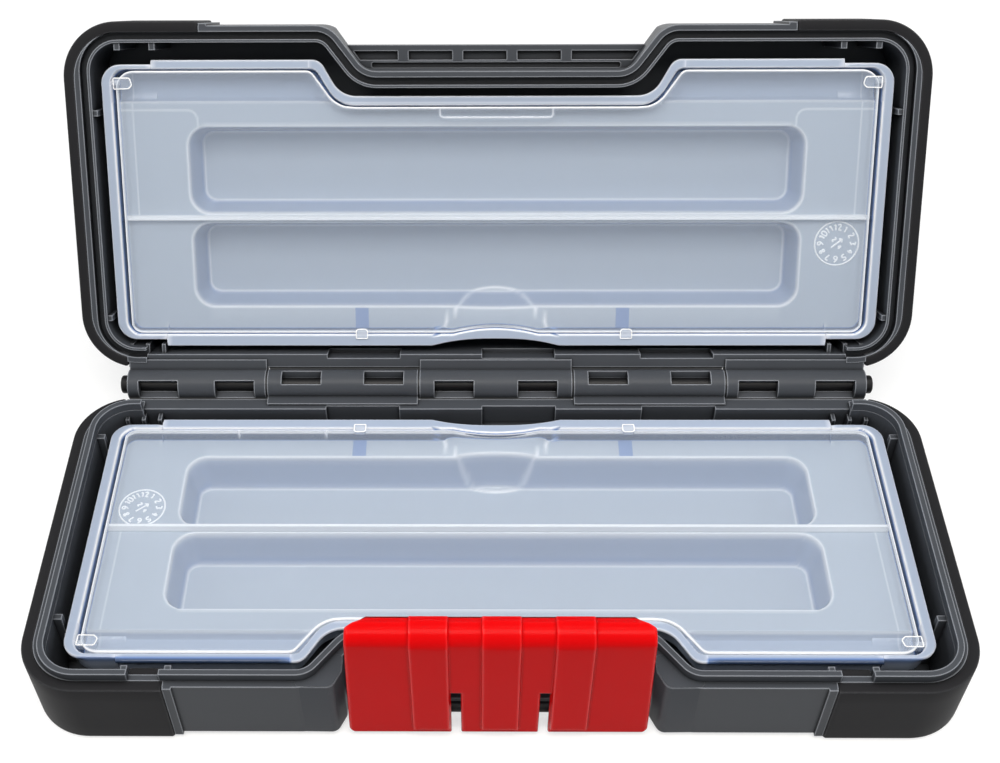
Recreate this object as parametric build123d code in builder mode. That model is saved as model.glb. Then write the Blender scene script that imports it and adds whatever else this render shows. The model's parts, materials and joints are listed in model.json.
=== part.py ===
"""Saw blade storage case: two hinged shells, each with a clear cassette inside.

Both halves are drawn in a half frame whose origin is the middle of the hinge axis:
x runs along the case, -y runs to the front edge, -z runs from the parting plane
down to the outer face.  "v" is a distance from the hinge axis to the front and
"w" a depth below the parting plane.  The base frame stands upright; the lid frame
is turned over and swung open, so one function makes the same piece in both halves.
"""

import os
from math import cos, radians, sin

from build123d import *

os.makedirs("parts", exist_ok=True)

# ---------------------------------------------------------------- driving sizes
LID_OPENING = 121.6  # angle between the halves as they stand
LATCH_LEAN = 2.0  # the unlatched plate leans out by this angle

HALF_LENGTH = 130.7  # over the bumpers
FRONT = 112.0  # bumper face to hinge axis
REAR = 5.4
CORNER = 17.0
HALF_DEPTH = 25.0  # one half, parting plane to outer face
FOOT_DROP = 0.6  # the bumpers stand this much lower than the shell
PARTING_GAP = 0.3  # half the gap between the closed rims

BUMPER_WALL = 3.2
BUMPER_EDGE = 2.2  # rounding round the outer face
BASE_BUMPER_END = 90.0  # half distance between the bumpers along the front
LID_BUMPER_END = 89.3
BUMPER_REAR_END = 117.2
SHELL_FRONT = 110.7
SHELL_REAR = 7.0
SHELL_EDGE = 1.6  # chamfer round the outer face
FLOOR = 2.4
WALL = 3.9
REAR_INNER = 9.6  # the rear wall is thinner and its rim lower than the others
REAR_RIM = 1.2
REAR_HALF_LENGTH = 111.0

RECESS_FLOOR = 97.3  # latch recess in the front edge
RECESS_LOW = 39.7  # half width at the recess floor
RECESS_TOP = 50.0  # half width at the front edge
RECESS_BENDS = (7.0, 9.0)  # radii at the floor and at the front edge
LEDGE_FRONT = 104.5
RECESS_SLOPE = (RECESS_TOP - RECESS_LOW) / (FRONT - RECESS_FLOOR)
RECESS_STEP = 1.9  # under its rim the lid's recess is wider by this much
RECESS_STEP_TOP = 5.0
LEDGE_THICKNESS = 3.0
LEDGE_SINK = 1.5  # the catch ledge lies this far under the lid's face
LEDGE_ROW = (99.9, 102.6)  # a row of blind pockets lightens the ledge
LEDGE_ROW_END = 44.6
LEDGE_SPAN = LEDGE_ROW[1] - RECESS_FLOOR
LEDGE_POCKET = 2.2
LEDGE_RIBS = (-29.1, -12.0, 5.0, 22.0)
LEDGE_RIB = 3.4
LEDGE_GROOVE = (97.5, 99.1)  # and a groove runs beside the recess wall
LEDGE_GROOVE_END = 39.0
LEDGE_GROOVE_DEPTH = 1.4

TONGUE_INSET = 2.0
TONGUE_WALL = 1.8
TONGUE_HEIGHT = 2.9
TONGUE_PLAY = 0.2
LIP_WALL = 0.9
TONGUE_BREAKS = 95.2  # the front of the tongue is interrupted here
TONGUE_BREAK = 8.6
GROOVE_DEPTH = TONGUE_HEIGHT + 0.3

BARREL_RADIUS = 4.8
PIN_RADIUS = 2.3
PIN_HEAD_RADIUS = 2.9
PIN_HEAD = 2.3
PIN_CHAMFER = 0.5
PIN_START = 1.0  # the two pins leave a gap in the middle of the case
PIN_PLAY = 0.06
KNUCKLE_ENDS = (-117.0, -72.6, -24.4, 24.4, 72.6, 117.0)
KNUCKLE_GAP = 0.3
WINDOW = 12.4  # moulding windows that show the pins
WINDOW_SHIFT = 1.0  # outwards from the quarter points of a knuckle
BASE_WINDOW = (47, 108)  # angles the windows open over, 0 to the front, 90 up
LID_WINDOW = (62, 140)
ARM_TOP = 0.5

NOTCHES = (-42.0, 7.2, 57.5)  # deep notches in both rear rims
NOTCH = 23.0
NOTCH_DEPTH = 9.0
NOTCH_REAR = 8.3
RIB = 1.2
REAR_RIBS = (106.0, 111.1, 116.2)
REAR_RIB_TOP = 3.2  # clear of the other half's tongue
REAR_RIB_FRONT = 12.5
RIB_FOOT = HALF_DEPTH - 1  # ribs run down into the floor of the shell
REAR_STRIP = (5.4, 1.2, 6.0)  # a strip behind the rear rim shades the hinge gap
GUSSET = 1.8
GUSSET_TOP = 0.8
BASE_END_GUSSETS = (21.4, 88.0)
LID_END_GUSSETS = (21.4, 85.0)
END_GUSSET_REACH = 121.2
BASE_FRONT_GUSSETS = (89.4, 101.3)
LID_FRONT_GUSSETS = (103.6, 114.1)
FRONT_GUSSET_REACH = 103.6
BUMPER_RIB = (1.3, 0.7)  # an outer rib stands inside each bumper's end: place, rise

TRAY_TOP = 3.6  # flange below the parting plane
TRAY_HALF_LENGTH = 120.3
TRAY_FRONT = 100.6
TRAY_REAR = 11.7
TRAY_REAR_STEP = (104.6, 13.8)  # the flange steps forward beside the corner ribs
TRAY_WALL = 1.3
TRAY_CORNER = 7.0
TRAY_NECK = (89.8, 47.4, 53.6)  # front, and half widths, where it passes the recess
TRAY_BENDS = (8.0, 4.0)
LAND = 8.0  # shallow floor of the tray
TROUGH = 10.6  # deeper strip behind the front wall, where the cover swings in
TROUGH_REAR = 87.8
POCKET_FLOOR = 20.8
POCKET_HALF_LENGTH = 95.6
POCKET_REARS = (23.8, 53.6)
POCKET_WIDTH = 26.6
POCKET_CORNER = 6.0
POCKET_DRAFT = 9.0
DIVIDER = 52.1
DIVIDER_WIDTH = 1.4
DIVIDER_TOP = 5.5
SCOOP = (16.0, 9.0)  # half-round finger scoop in the rear wall
SCOOP_TOP = 5.4

COVER_THICKNESS = 1.2
COVER_TOP = 3.9
COVER_PLAY = 0.5
COVER_HALF_LENGTH = 116.5
COVER_FRONT = 97.4
COVER_REAR = 15.9
COVER_CORNER = 4.0
BASIN_NECK = (86.5, 48.6, 55.4)
COVER_NECK = (86.5, 48.6, 58.2)  # wider gap at the flanks: room to swing
COVER_BENDS = (9.0, 3.0)
COVER_NOTCH = (21.0, 6.4)
COVER_PIVOT = (94.0, 5.0)
PAD = 5.2  # thickened ends that carry the stubs
PAD_HALF = 1.5
PAD_INSET = 0.8
STUB_RADIUS = 0.95
STUB_PLAY = 0.1
CLIP = 42.2  # snap tabs of the cover and the slots they press into
TAB = (6.0, 1.1, 2.0)
SLOT = (7.0, 3.0, 2.4)
SLOT_REAR_PLAY = 0.2

LATCH_HALF_WIDTHS = (39.6, 41.4)  # at the hook and at the lower edge
LATCH_CORNERS = (0.8, 1.7)
LATCH_FRONT = 110.8
LATCH_WALL = 2.6
LATCH_PIVOT = (105.3, 19.0)
LATCH_TOP = -25.6
LATCH_BOTTOM = 23.8
LATCH_ROUNDING = 4.2
HOOK_TIP = 103.3
HOOK_WALL = 1.9
HOOK_CHAMFER = (2.4, 1.2)
HOOK_CORNER = (34.4, 107.2)  # the hook's rear corners are cut off from here to here
STRAPS = (-18.4, 0.4, 19.3)
STRAP_WIDTH = 10.2
STRAP_RISE = 0.8
STRAP_END = 1.6  # the straps stop this far above the lower edge
SLOTS = (-11.6, 12.4)
SLOT_WIDTH = 2.6
SLOT_TOP = 2.2
SLOT_REACH = 12.0  # the cutter of a slot is deeper than the plate is thick
LATCH_PIN_RADIUS = 1.5
LUGS = (-34.0, 0.0, 34.0)
LUG_WIDTH = 2.4
LUG_WALL = 1.2
LUG_FOOT = 100.3  # in front of this the lug stays clear of the swinging plate
LUG_RISE = 6.0  # the lug's root reaches this far above the pin
LUG_BOTTOM = HALF_DEPTH - 0.4
EAR_WIDTH = 2.2
EAR_WALL = 1.4
EAR_ROOT = (8.0, -4.4)  # where an ear joins the plate, measured from the pin
EAR_PLAY = 0.4
LATCH_PIN_END = 2.6  # the pin stands out of the outer lugs
BOTTOM_LIP = (4.0, 100.5)  # the lip under the latch: inset of its ends, front edge

# ---------------------------------------------------------------------- frames
AXIS = (0, (FRONT + REAR) / 2, HALF_DEPTH + FOOT_DROP)
OPEN = radians(LID_OPENING)
LEAN = radians(LATCH_LEAN)
BASE = Plane(origin=AXIS, x_dir=(1, 0, 0), z_dir=(0, 0, 1))
LID = Plane(origin=AXIS, x_dir=(-1, 0, 0), z_dir=(0, -sin(OPEN), -cos(OPEN)))
PIVOT = (0, AXIS[1] - LATCH_PIVOT[0], AXIS[2] - LATCH_PIVOT[1])
LATCH = Plane(origin=PIVOT, x_dir=(1, 0, 0), z_dir=(0, -sin(LEAN), cos(LEAN)))
LATCH_UP = Axis(PIVOT, LATCH.z_dir)


def level(frame, depth):
    """The plane at a depth below the parting plane."""
    return frame.offset(-depth)


def across(frame, x, v=0.0, w=0.0):
    """The plane square to the length at x, with its own x to the rear and y up."""
    origin = frame.from_local_coords((x, -v, -w))
    return Plane(origin=origin, x_dir=frame.y_dir, z_dir=frame.x_dir)


def prism(frame, plan, top, bottom, mode=Mode.ADD, taper=0.0):
    """Add or cut the solid under a plan, between two depths."""
    with BuildSketch(level(frame, top)) as section:
        add(plan)
    extrude(section.sketch, amount=bottom - top, dir=-frame.z_dir, taper=taper, mode=mode)


def along(frame, profile, start, end, mode=Mode.ADD):
    """Add or cut the solid that a cross-section makes between two places in x."""
    with BuildSketch(across(frame, start)) as section:
        add(profile)
    extrude(section.sketch, amount=end - start, dir=frame.x_dir, mode=mode)


# ----------------------------------------------------------------- plan outlines
def box_plan(x_low, x_high, v_low, v_high, corner=0.0):
    """A rectangle between two places in x and two distances from the axis."""
    with BuildSketch() as plan:
        with Locations(((x_low + x_high) / 2, -(v_low + v_high) / 2)):
            if corner:
                RectangleRounded(x_high - x_low, v_high - v_low, corner)
            else:
                Rectangle(x_high - x_low, v_high - v_low)
    return plan.sketch


def recessed_plan(reach, corner, recess, bends):
    """A rounded rectangle whose front edge steps back round the latch."""
    half_length, front, rear = reach
    floor, low, top = recess
    with BuildSketch() as plan:
        with BuildLine():
            Polyline(
                (0, -rear),
                (half_length, -rear),
                (half_length, -front),
                (top, -front),
                (low, -floor),
                (0, -floor),
            )
            mirror(about=Plane.YZ)
        make_face()
        ends = [v for v in plan.vertices() if abs(v.X) > half_length - 1]
        fillet(ends, corner)
        shoulders = [v for v in plan.vertices() if abs(abs(v.X) - top) < 0.01]
        fillet(shoulders, bends[1])
        feet = [v for v in plan.vertices() if abs(abs(v.X) - low) < 0.01]
        fillet(feet, bends[0])
    return plan.sketch


def inset(plan, amount):
    """The same outline drawn in by an amount."""
    with BuildSketch() as smaller:
        add(plan)
        offset(amount=-amount, mode=Mode.REPLACE)
    return smaller.sketch


def ring(outer, inner):
    """What lies between two outlines."""
    with BuildSketch() as band:
        add(outer)
        add(inner, mode=Mode.SUBTRACT)
    return band.sketch


SHELL_HALF_LENGTH = HALF_LENGTH - BUMPER_WALL
SHELL_CORNER = CORNER - BUMPER_WALL
RECESS = (RECESS_FLOOR, RECESS_LOW, RECESS_TOP)
outer_plan = recessed_plan((HALF_LENGTH, FRONT, REAR), CORNER, RECESS, RECESS_BENDS)
shell_plan = recessed_plan(
    (SHELL_HALF_LENGTH, SHELL_FRONT, SHELL_REAR), SHELL_CORNER, RECESS, RECESS_BENDS
)
tray_plan = recessed_plan(
    (TRAY_HALF_LENGTH, TRAY_FRONT, TRAY_REAR), TRAY_CORNER, TRAY_NECK, TRAY_BENDS
)
cover_reach = (COVER_HALF_LENGTH, COVER_FRONT, COVER_REAR)
cover_plan = recessed_plan(cover_reach, COVER_CORNER, COVER_NECK, COVER_BENDS)
basin_plan = recessed_plan(cover_reach, COVER_CORNER, BASIN_NECK, COVER_BENDS)
rear_rim = box_plan(-REAR_HALF_LENGTH, REAR_HALF_LENGTH, 0, TRAY_REAR)
tongue_end = REAR_HALF_LENGTH + TONGUE_PLAY
tongue_gap = box_plan(-tongue_end, tongue_end, 0, TRAY_REAR)


def bumper_plan(side, front_end):
    """The band round one end of a half, from the front to the hinge corner."""
    with BuildSketch() as plan:
        add(ring(outer_plan, inset(outer_plan, BUMPER_WALL)))
        with BuildLine():
            Polyline(
                (-side * 2 * HALF_LENGTH, -2 * FRONT),
                (side * front_end, -2 * FRONT),
                (side * front_end, -FRONT / 2),
                (side * BUMPER_REAR_END, -FRONT / 3),
                (side * BUMPER_REAR_END, FRONT),
                (-side * 2 * HALF_LENGTH, FRONT),
                close=True,
            )
        make_face(mode=Mode.SUBTRACT)
    return plan.sketch


# ---------------------------------------------------------------------- bumpers
def make_bumper(frame, side, front_end, name):
    """One soft corner band, proud of the shell's side and of its outer face."""
    with BuildPart() as bumper:
        prism(frame, bumper_plan(side, front_end), PARTING_GAP, HALF_DEPTH + FOOT_DROP)
        face = bumper.faces().sort_by(Axis(frame.origin, -frame.z_dir))[-1]
        rim = [e for e in face.edges() if on_outline(frame, e)]
        fillet(rim, BUMPER_EDGE)
    bumper.part.label = name
    return bumper.part


def on_outline(frame, edge):
    """Whether an edge of the outer face lies on the outside of the bumpers."""
    local = frame.to_local_coords(edge @ 0.5)
    x, v = abs(local.X), -local.Y
    inner_x = HALF_LENGTH - CORNER
    if x > HALF_LENGTH - 0.1 or v > FRONT - 0.1 or v < REAR + 0.1:
        return True
    for centre in (FRONT - CORNER, REAR + CORNER):
        beyond = v > centre if centre > FRONT / 2 else v < centre
        reach = ((x - inner_x) ** 2 + (v - centre) ** 2) ** 0.5
        if x > inner_x and beyond and abs(reach - CORNER) < 0.1:
            return True
    return False


# ----------------------------------------------------------------------- shells
def knuckle_profile(bore):
    """Barrel with its arm to the rear wall, bored for the pin."""
    with BuildSketch() as profile:
        Circle(BARREL_RADIUS)
        with BuildLine():
            Polyline(
                (0, -ARM_TOP),
                (-SHELL_REAR - 1, -ARM_TOP),
                (-SHELL_REAR - 1, -BARREL_RADIUS),
                (0, -BARREL_RADIUS),
                close=True,
            )
        make_face()
        Circle(bore, mode=Mode.SUBTRACT)
    return profile.sketch


def wedge_profile(first, last):
    """A wedge from the pin outwards between two angles, 0 to the front, 90 up."""
    reach = 2 * BARREL_RADIUS
    middle = (first + last) / 2
    with BuildSketch() as profile:
        with BuildLine():
            corners = [(0, 0)]
            for angle in (first, middle, last):
                corners.append((-reach * cos(radians(angle)), reach * sin(radians(angle))))
            Polyline(*corners, close=True)
        make_face()
    return profile.sketch


def add_knuckles(frame, spans, angles, bore):
    """Barrels in the given spans, each with two moulding windows."""
    for start, end in spans:
        along(frame, knuckle_profile(bore), start + KNUCKLE_GAP, end - KNUCKLE_GAP)
        quarter = (end - start) / 4
        for centre in (start + quarter - WINDOW_SHIFT, end - quarter + WINDOW_SHIFT):
            along(
                frame,
                wedge_profile(*angles),
                centre - WINDOW / 2,
                centre + WINDOW / 2,
                mode=Mode.SUBTRACT,
            )


def add_rear_details(frame, sign):
    """Deep notches in the rear rim, ribs near the corners and the shading strip."""
    rear, top, bottom = REAR_STRIP
    half = KNUCKLE_ENDS[-1]
    prism(frame, box_plan(-half, half, rear, SHELL_REAR + 1), top, bottom)
    for place in NOTCHES:
        low = sign * place - NOTCH / 2
        notch = box_plan(low, low + NOTCH, NOTCH_REAR, REAR_INNER + 1)
        prism(frame, notch, 0, NOTCH_DEPTH, mode=Mode.SUBTRACT)
    for side in (-1, 1):
        for place in REAR_RIBS:
            low = side * place - RIB / 2
            rib = box_plan(low, low + RIB, SHELL_REAR + 1, REAR_RIB_FRONT)
            prism(frame, rib, REAR_RIB_TOP, RIB_FOOT)


def add_gussets(frame, end_places, front_places):
    """Upright ribs that centre the tray: two on each end wall, two at the front."""
    for side in (-1, 1):
        low, high = sorted((side * END_GUSSET_REACH, side * (SHELL_HALF_LENGTH - 1)))
        for v in end_places:
            rib = box_plan(low, high, v - GUSSET / 2, v + GUSSET / 2)
            prism(frame, rib, GUSSET_TOP, RIB_FOOT)
        for place in front_places:
            low_x = side * place - GUSSET / 2
            rib = box_plan(low_x, low_x + GUSSET, FRONT_GUSSET_REACH, SHELL_FRONT - 3)
            prism(frame, rib, GUSSET_TOP, RIB_FOOT)


def make_tub(frame, cavity_inset, front_end, end_places, front_places):
    """A half's tub: outer block and cavity, with the ribs that centre the tray."""
    with BuildPart() as shell:
        prism(frame, shell_plan, PARTING_GAP, HALF_DEPTH)
        face = shell.faces().sort_by(Axis(frame.origin, -frame.z_dir))[-1]
        chamfer(face.edges(), SHELL_EDGE)
        with BuildSketch() as cavity:
            add(inset(shell_plan, cavity_inset))
            add(box_plan(-REAR_HALF_LENGTH, REAR_HALF_LENGTH, REAR_INNER, FRONT / 2))
        prism(frame, cavity.sketch, PARTING_GAP, HALF_DEPTH - FLOOR, mode=Mode.SUBTRACT)
        prism(frame, rear_rim, PARTING_GAP, REAR_RIM, mode=Mode.SUBTRACT)
        add_gussets(frame, end_places, front_places)
        for side in (-1, 1):
            low = side * (front_end - BUMPER_RIB[0]) - RIB
            rib = box_plan(low, low + 2 * RIB, SHELL_FRONT - 1, SHELL_FRONT + BUMPER_RIB[1])
            prism(frame, rib, PARTING_GAP, RIB_FOOT)
    return shell.part


def lug_profile(bore):
    """Upright lug from the base recess out to the latch pin."""
    v, w = LATCH_PIVOT
    with BuildSketch() as profile:
        with Locations((-v, -w)):
            Circle(LATCH_PIN_RADIUS + LUG_WALL)
        with BuildLine():
            Polyline(
                (-RECESS_FLOOR + 1, -w + LUG_RISE),
                (-v, -w + LATCH_PIN_RADIUS + LUG_WALL),
                (-v, -w - LATCH_PIN_RADIUS - LUG_WALL),
                (-LUG_FOOT, -w - LATCH_PIN_RADIUS - LUG_WALL),
                (-LUG_FOOT, -LUG_BOTTOM),
                (-RECESS_FLOOR + 1, -LUG_BOTTOM),
                close=True,
            )
        make_face()
        with Locations((-v, -w)):
            Circle(bore, mode=Mode.SUBTRACT)
    return profile.sketch


def ledge_plan(rear, front, clearance):
    """The catch ledge between two distances, its ends slanting with the recess."""
    ends = []
    for v in (rear, front):
        beyond = max(v - RECESS_FLOOR, 0) * RECESS_SLOPE
        ends.append(RECESS_LOW + beyond - clearance)
    with BuildSketch() as plan:
        with BuildLine():
            Polyline(
                (-ends[0], -rear),
                (ends[0], -rear),
                (ends[1], -front),
                (-ends[1], -front),
                close=True,
            )
        make_face()
    return plan.sketch


bumpers = {}
for name, side in (("left", -1), ("right", 1)):
    label = f"base_bumper_{name}"
    bumpers[label] = make_bumper(BASE, side, BASE_BUMPER_END, label)
    label = f"lid_bumper_{name}"
    bumpers[label] = make_bumper(LID, -side, LID_BUMPER_END, label)

base_spans = [(KNUCKLE_ENDS[i], KNUCKLE_ENDS[i + 1]) for i in (1, 3)]
lid_spans = [(KNUCKLE_ENDS[i], KNUCKLE_ENDS[i + 1]) for i in (0, 2, 4)]
base_tub = make_tub(BASE, WALL, BASE_BUMPER_END, BASE_END_GUSSETS, BASE_FRONT_GUSSETS)
lid_wall = TONGUE_INSET + TONGUE_WALL + TONGUE_PLAY + LIP_WALL
lid_tub = make_tub(LID, lid_wall, LID_BUMPER_END, LID_END_GUSSETS, LID_FRONT_GUSSETS)

with BuildPart() as base_shell:
    add(base_tub)
    tongue = ring(inset(shell_plan, TONGUE_INSET), inset(shell_plan, TONGUE_INSET + TONGUE_WALL))
    prism(BASE, ring(tongue, tongue_gap), -TONGUE_HEIGHT + PARTING_GAP, PARTING_GAP)
    for side in (-1, 1):
        low = side * TONGUE_BREAKS - TONGUE_BREAK / 2
        gap = box_plan(low, low + TONGUE_BREAK, TRAY_FRONT, FRONT)
        prism(BASE, gap, -TONGUE_HEIGHT, PARTING_GAP, mode=Mode.SUBTRACT)
    add_rear_details(BASE, 1)
    add_knuckles(BASE, base_spans, BASE_WINDOW, PIN_RADIUS + PIN_PLAY / 3)
    lip_half, lip_front = RECESS_LOW - BOTTOM_LIP[0], BOTTOM_LIP[1]
    bottom_lip = box_plan(-lip_half, lip_half, RECESS_FLOOR - 1, lip_front)
    prism(BASE, bottom_lip, HALF_DEPTH - FLOOR, HALF_DEPTH)
    lug = lug_profile(LATCH_PIN_RADIUS + PIN_PLAY / 3)
    for x in LUGS:
        along(BASE, lug, x - LUG_WIDTH / 2, x + LUG_WIDTH / 2)
    for name in ("left", "right"):
        add(bumpers[f"base_bumper_{name}"], mode=Mode.SUBTRACT)
base_shell.part.label = "base_shell"

with BuildPart() as lid_shell:
    add(lid_tub)
    groove = ring(
        inset(shell_plan, TONGUE_INSET - TONGUE_PLAY),
        inset(shell_plan, TONGUE_INSET + TONGUE_WALL + TONGUE_PLAY),
    )
    prism(LID, ring(groove, rear_rim), PARTING_GAP, GROOVE_DEPTH, mode=Mode.SUBTRACT)
    add_rear_details(LID, -1)
    add_knuckles(LID, lid_spans, LID_WINDOW, PIN_RADIUS + PIN_PLAY)
    ledge_top = HALF_DEPTH - LEDGE_SINK - LEDGE_THICKNESS
    widening = ledge_plan(RECESS_FLOOR, FRONT, -RECESS_STEP)
    prism(LID, widening, RECESS_STEP_TOP, HALF_DEPTH, mode=Mode.SUBTRACT)
    ledge = ledge_plan(RECESS_FLOOR - 1, LEDGE_FRONT, -RECESS_STEP - 0.5)
    prism(LID, ledge, ledge_top, ledge_top + LEDGE_THICKNESS)
    with BuildSketch() as row:
        add(ledge_plan(*LEDGE_ROW, RECESS_LOW - LEDGE_ROW_END + RECESS_SLOPE * LEDGE_SPAN))
        for place in LEDGE_RIBS:
            low = -place - LEDGE_RIB / 2
            add(box_plan(low, low + LEDGE_RIB, *LEDGE_ROW), mode=Mode.SUBTRACT)
    prism(LID, row.sketch, ledge_top, ledge_top + LEDGE_POCKET, mode=Mode.SUBTRACT)
    groove = box_plan(-LEDGE_GROOVE_END, LEDGE_GROOVE_END, *LEDGE_GROOVE, 0.6)
    prism(LID, groove, ledge_top, ledge_top + LEDGE_GROOVE_DEPTH, mode=Mode.SUBTRACT)
    for name in ("left", "right"):
        add(bumpers[f"lid_bumper_{name}"], mode=Mode.SUBTRACT)
lid_shell.part.label = "lid_shell"


# ------------------------------------------------------------------ pins
def make_pin(side, name):
    """Hinge pin pushed in from one end, with a round head outside."""
    with BuildPart() as pin:
        with BuildSketch(across(BASE, side * PIN_START)) as shank:
            Circle(PIN_RADIUS)
        extrude(shank.sketch, amount=KNUCKLE_ENDS[-1] - PIN_START, dir=(side, 0, 0))
        with BuildSketch(across(BASE, side * KNUCKLE_ENDS[-1])) as head:
            Circle(PIN_HEAD_RADIUS)
        extrude(head.sketch, amount=PIN_HEAD, dir=(side, 0, 0))
        outermost = pin.edges().filter_by(GeomType.CIRCLE).sort_by(Axis.X)
        chamfer(outermost[-1 if side > 0 else 0], PIN_CHAMFER)
    pin.part.label = name
    return pin.part


with BuildPart() as latch_pin:
    half = LUGS[-1] + LUG_WIDTH / 2 + LATCH_PIN_END
    with BuildSketch(across(BASE, -half, *LATCH_PIVOT)) as shank:
        Circle(LATCH_PIN_RADIUS)
    extrude(shank.sketch, amount=2 * half, dir=(1, 0, 0))
latch_pin.part.label = "latch_pin"


# ------------------------------------------------------------------ cassettes
def pocket_plan(rear, grow=0.0):
    """A blade pocket from its rear wall on, grown all round by a wall."""
    return box_plan(
        -POCKET_HALF_LENGTH - grow,
        POCKET_HALF_LENGTH + grow,
        rear - grow,
        rear + POCKET_WIDTH + grow,
        POCKET_CORNER + grow,
    )


def scoop_plan(grow=0.0):
    """The half-round finger scoop in the middle of the rear wall."""
    with BuildSketch() as plan:
        with Locations((0, -TRAY_REAR)):
            Ellipse(SCOOP[0] + grow, SCOOP[1] + grow)
    return plan.sketch


def make_tray(frame, name):
    """Tub with a flange, a shallow floor, a front trough and two deep pockets."""
    basin = inset(basin_plan, -COVER_PLAY)
    behind = box_plan(-HALF_LENGTH, HALF_LENGTH, 0, TROUGH_REAR)
    behind_wall = box_plan(-HALF_LENGTH, HALF_LENGTH, 0, TROUGH_REAR - TRAY_WALL)
    flange = tray_plan
    step, step_rear = TRAY_REAR_STEP
    for side in (-1, 1):
        low, high = sorted((side * step, side * HALF_LENGTH))
        flange = ring(flange, box_plan(low, high, 0, step_rear))
    with BuildPart() as tray:
        prism(frame, inset(basin, -TRAY_WALL), TRAY_TOP, LAND + TRAY_WALL)
        prism(frame, ring(inset(basin, -TRAY_WALL), behind_wall), LAND, TROUGH + TRAY_WALL)
        prism(frame, flange, TRAY_TOP, TRAY_TOP + TRAY_WALL)
        for rear in POCKET_REARS:
            outside = pocket_plan(rear, TRAY_WALL)
            prism(frame, outside, LAND, POCKET_FLOOR + TRAY_WALL, taper=POCKET_DRAFT)
        prism(frame, basin, 0, LAND, mode=Mode.SUBTRACT)
        prism(frame, ring(basin, behind), LAND - 1, TROUGH, mode=Mode.SUBTRACT)
        for rear in POCKET_REARS:
            prism(frame, pocket_plan(rear), LAND, POCKET_FLOOR, Mode.SUBTRACT, POCKET_DRAFT)
        reach = COVER_HALF_LENGTH + COVER_PLAY
        low = DIVIDER - DIVIDER_WIDTH / 2
        divider = box_plan(-reach, reach, low, low + DIVIDER_WIDTH)
        prism(frame, divider, DIVIDER_TOP, LAND + TRAY_WALL / 2)
        hidden = box_plan(-HALF_LENGTH, HALF_LENGTH, 0, COVER_REAR - 1)
        bulge = ring(scoop_plan(TRAY_WALL), hidden)
        prism(frame, bulge, SCOOP_TOP, LAND + TRAY_WALL)
        prism(frame, scoop_plan(), 0, LAND, mode=Mode.SUBTRACT)
        for side in (-1, 1):
            start, end = sorted((side * (COVER_HALF_LENGTH - 1), side * (COVER_HALF_LENGTH + 3)))
            with BuildSketch(across(frame, start, *COVER_PIVOT)) as hole:
                Circle(STUB_RADIUS + STUB_PLAY)
            extrude(hole.sketch, amount=end - start, dir=frame.x_dir, mode=Mode.SUBTRACT)
            width, length, depth = SLOT
            low, far = side * CLIP - width / 2, COVER_REAR - SLOT_REAR_PLAY
            window = box_plan(low, low + width, far - length, far)
            prism(frame, window, 0, TRAY_TOP + TRAY_WALL + depth, mode=Mode.SUBTRACT)
    tray.part.label = name
    return tray.part


def make_cover(frame, name):
    """Clear plate that turns on two stubs beside its front corners."""
    v, w = COVER_PIVOT
    under = COVER_TOP + COVER_THICKNESS
    with BuildPart() as cover:
        prism(frame, cover_plan, COVER_TOP, under)
        with BuildSketch() as notch:
            with Locations((0, -TRAY_REAR + 1)):
                Ellipse(*COVER_NOTCH)
        prism(frame, notch.sketch, 0, LAND, mode=Mode.SUBTRACT)
        for side in (-1, 1):
            inner, outer = COVER_HALF_LENGTH - PAD, COVER_HALF_LENGTH - PAD_INSET
            low, high = sorted((side * inner, side * outer))
            pad = box_plan(low, high, v - PAD_HALF, v + PAD_HALF)
            prism(frame, pad, COVER_TOP, w + PAD_HALF)
            with BuildSketch(across(frame, side * (COVER_HALF_LENGTH - 1), v, w)) as stub:
                Circle(STUB_RADIUS)
            outward = frame.x_dir * side
            extrude(stub.sketch, amount=1 + COVER_PLAY + TRAY_WALL, dir=outward)
            width, thickness, depth = TAB
            low = side * CLIP - width / 2
            tab = box_plan(low, low + width, COVER_REAR, COVER_REAR + thickness)
            prism(frame, tab, COVER_TOP, under + depth)
    cover.part.label = name
    return cover.part


# ------------------------------------------------------------------------ latch
def latch_section():
    """Plate and hook seen from the end, measured from the pivot."""
    v0, w0 = LATCH_PIVOT
    front, rear = LATCH_FRONT - v0, LATCH_FRONT - LATCH_WALL - v0
    top, bottom = LATCH_TOP - w0, LATCH_BOTTOM - w0
    tip = HOOK_TIP - v0
    with BuildSketch() as section:
        with BuildLine():
            Polyline(
                (-front, -bottom),
                (-front, -top),
                (-tip - HOOK_CHAMFER[0], -top),
                (-tip, -top - HOOK_CHAMFER[1]),
                (-tip, -top - HOOK_WALL),
                (-rear, -top - HOOK_WALL),
                (-rear, -bottom),
                close=True,
            )
        make_face()
        corner = section.vertices().sort_by(Axis.Y)[-2:].sort_by(Axis.X)[0]
        fillet(corner, LATCH_ROUNDING)
    return section.sketch


def latch_outline():
    """The plate seen from the front: a little wider at its lower edge."""
    above, below = -LATCH_TOP + LATCH_PIVOT[1], LATCH_BOTTOM - LATCH_PIVOT[1]
    high, low = LATCH_HALF_WIDTHS
    with BuildSketch(Plane(origin=PIVOT, x_dir=(1, 0, 0), z_dir=-LATCH.y_dir)) as outline:
        with BuildLine():
            Polyline(
                (-low, -below), (low, -below), (high, above), (-high, above), close=True
            )
        make_face()
        in_height = outline.vertices().sort_by(LATCH_UP)
        fillet(in_height[:2], LATCH_CORNERS[1])
        fillet(in_height[-2:], LATCH_CORNERS[0])
    return outline.sketch


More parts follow.
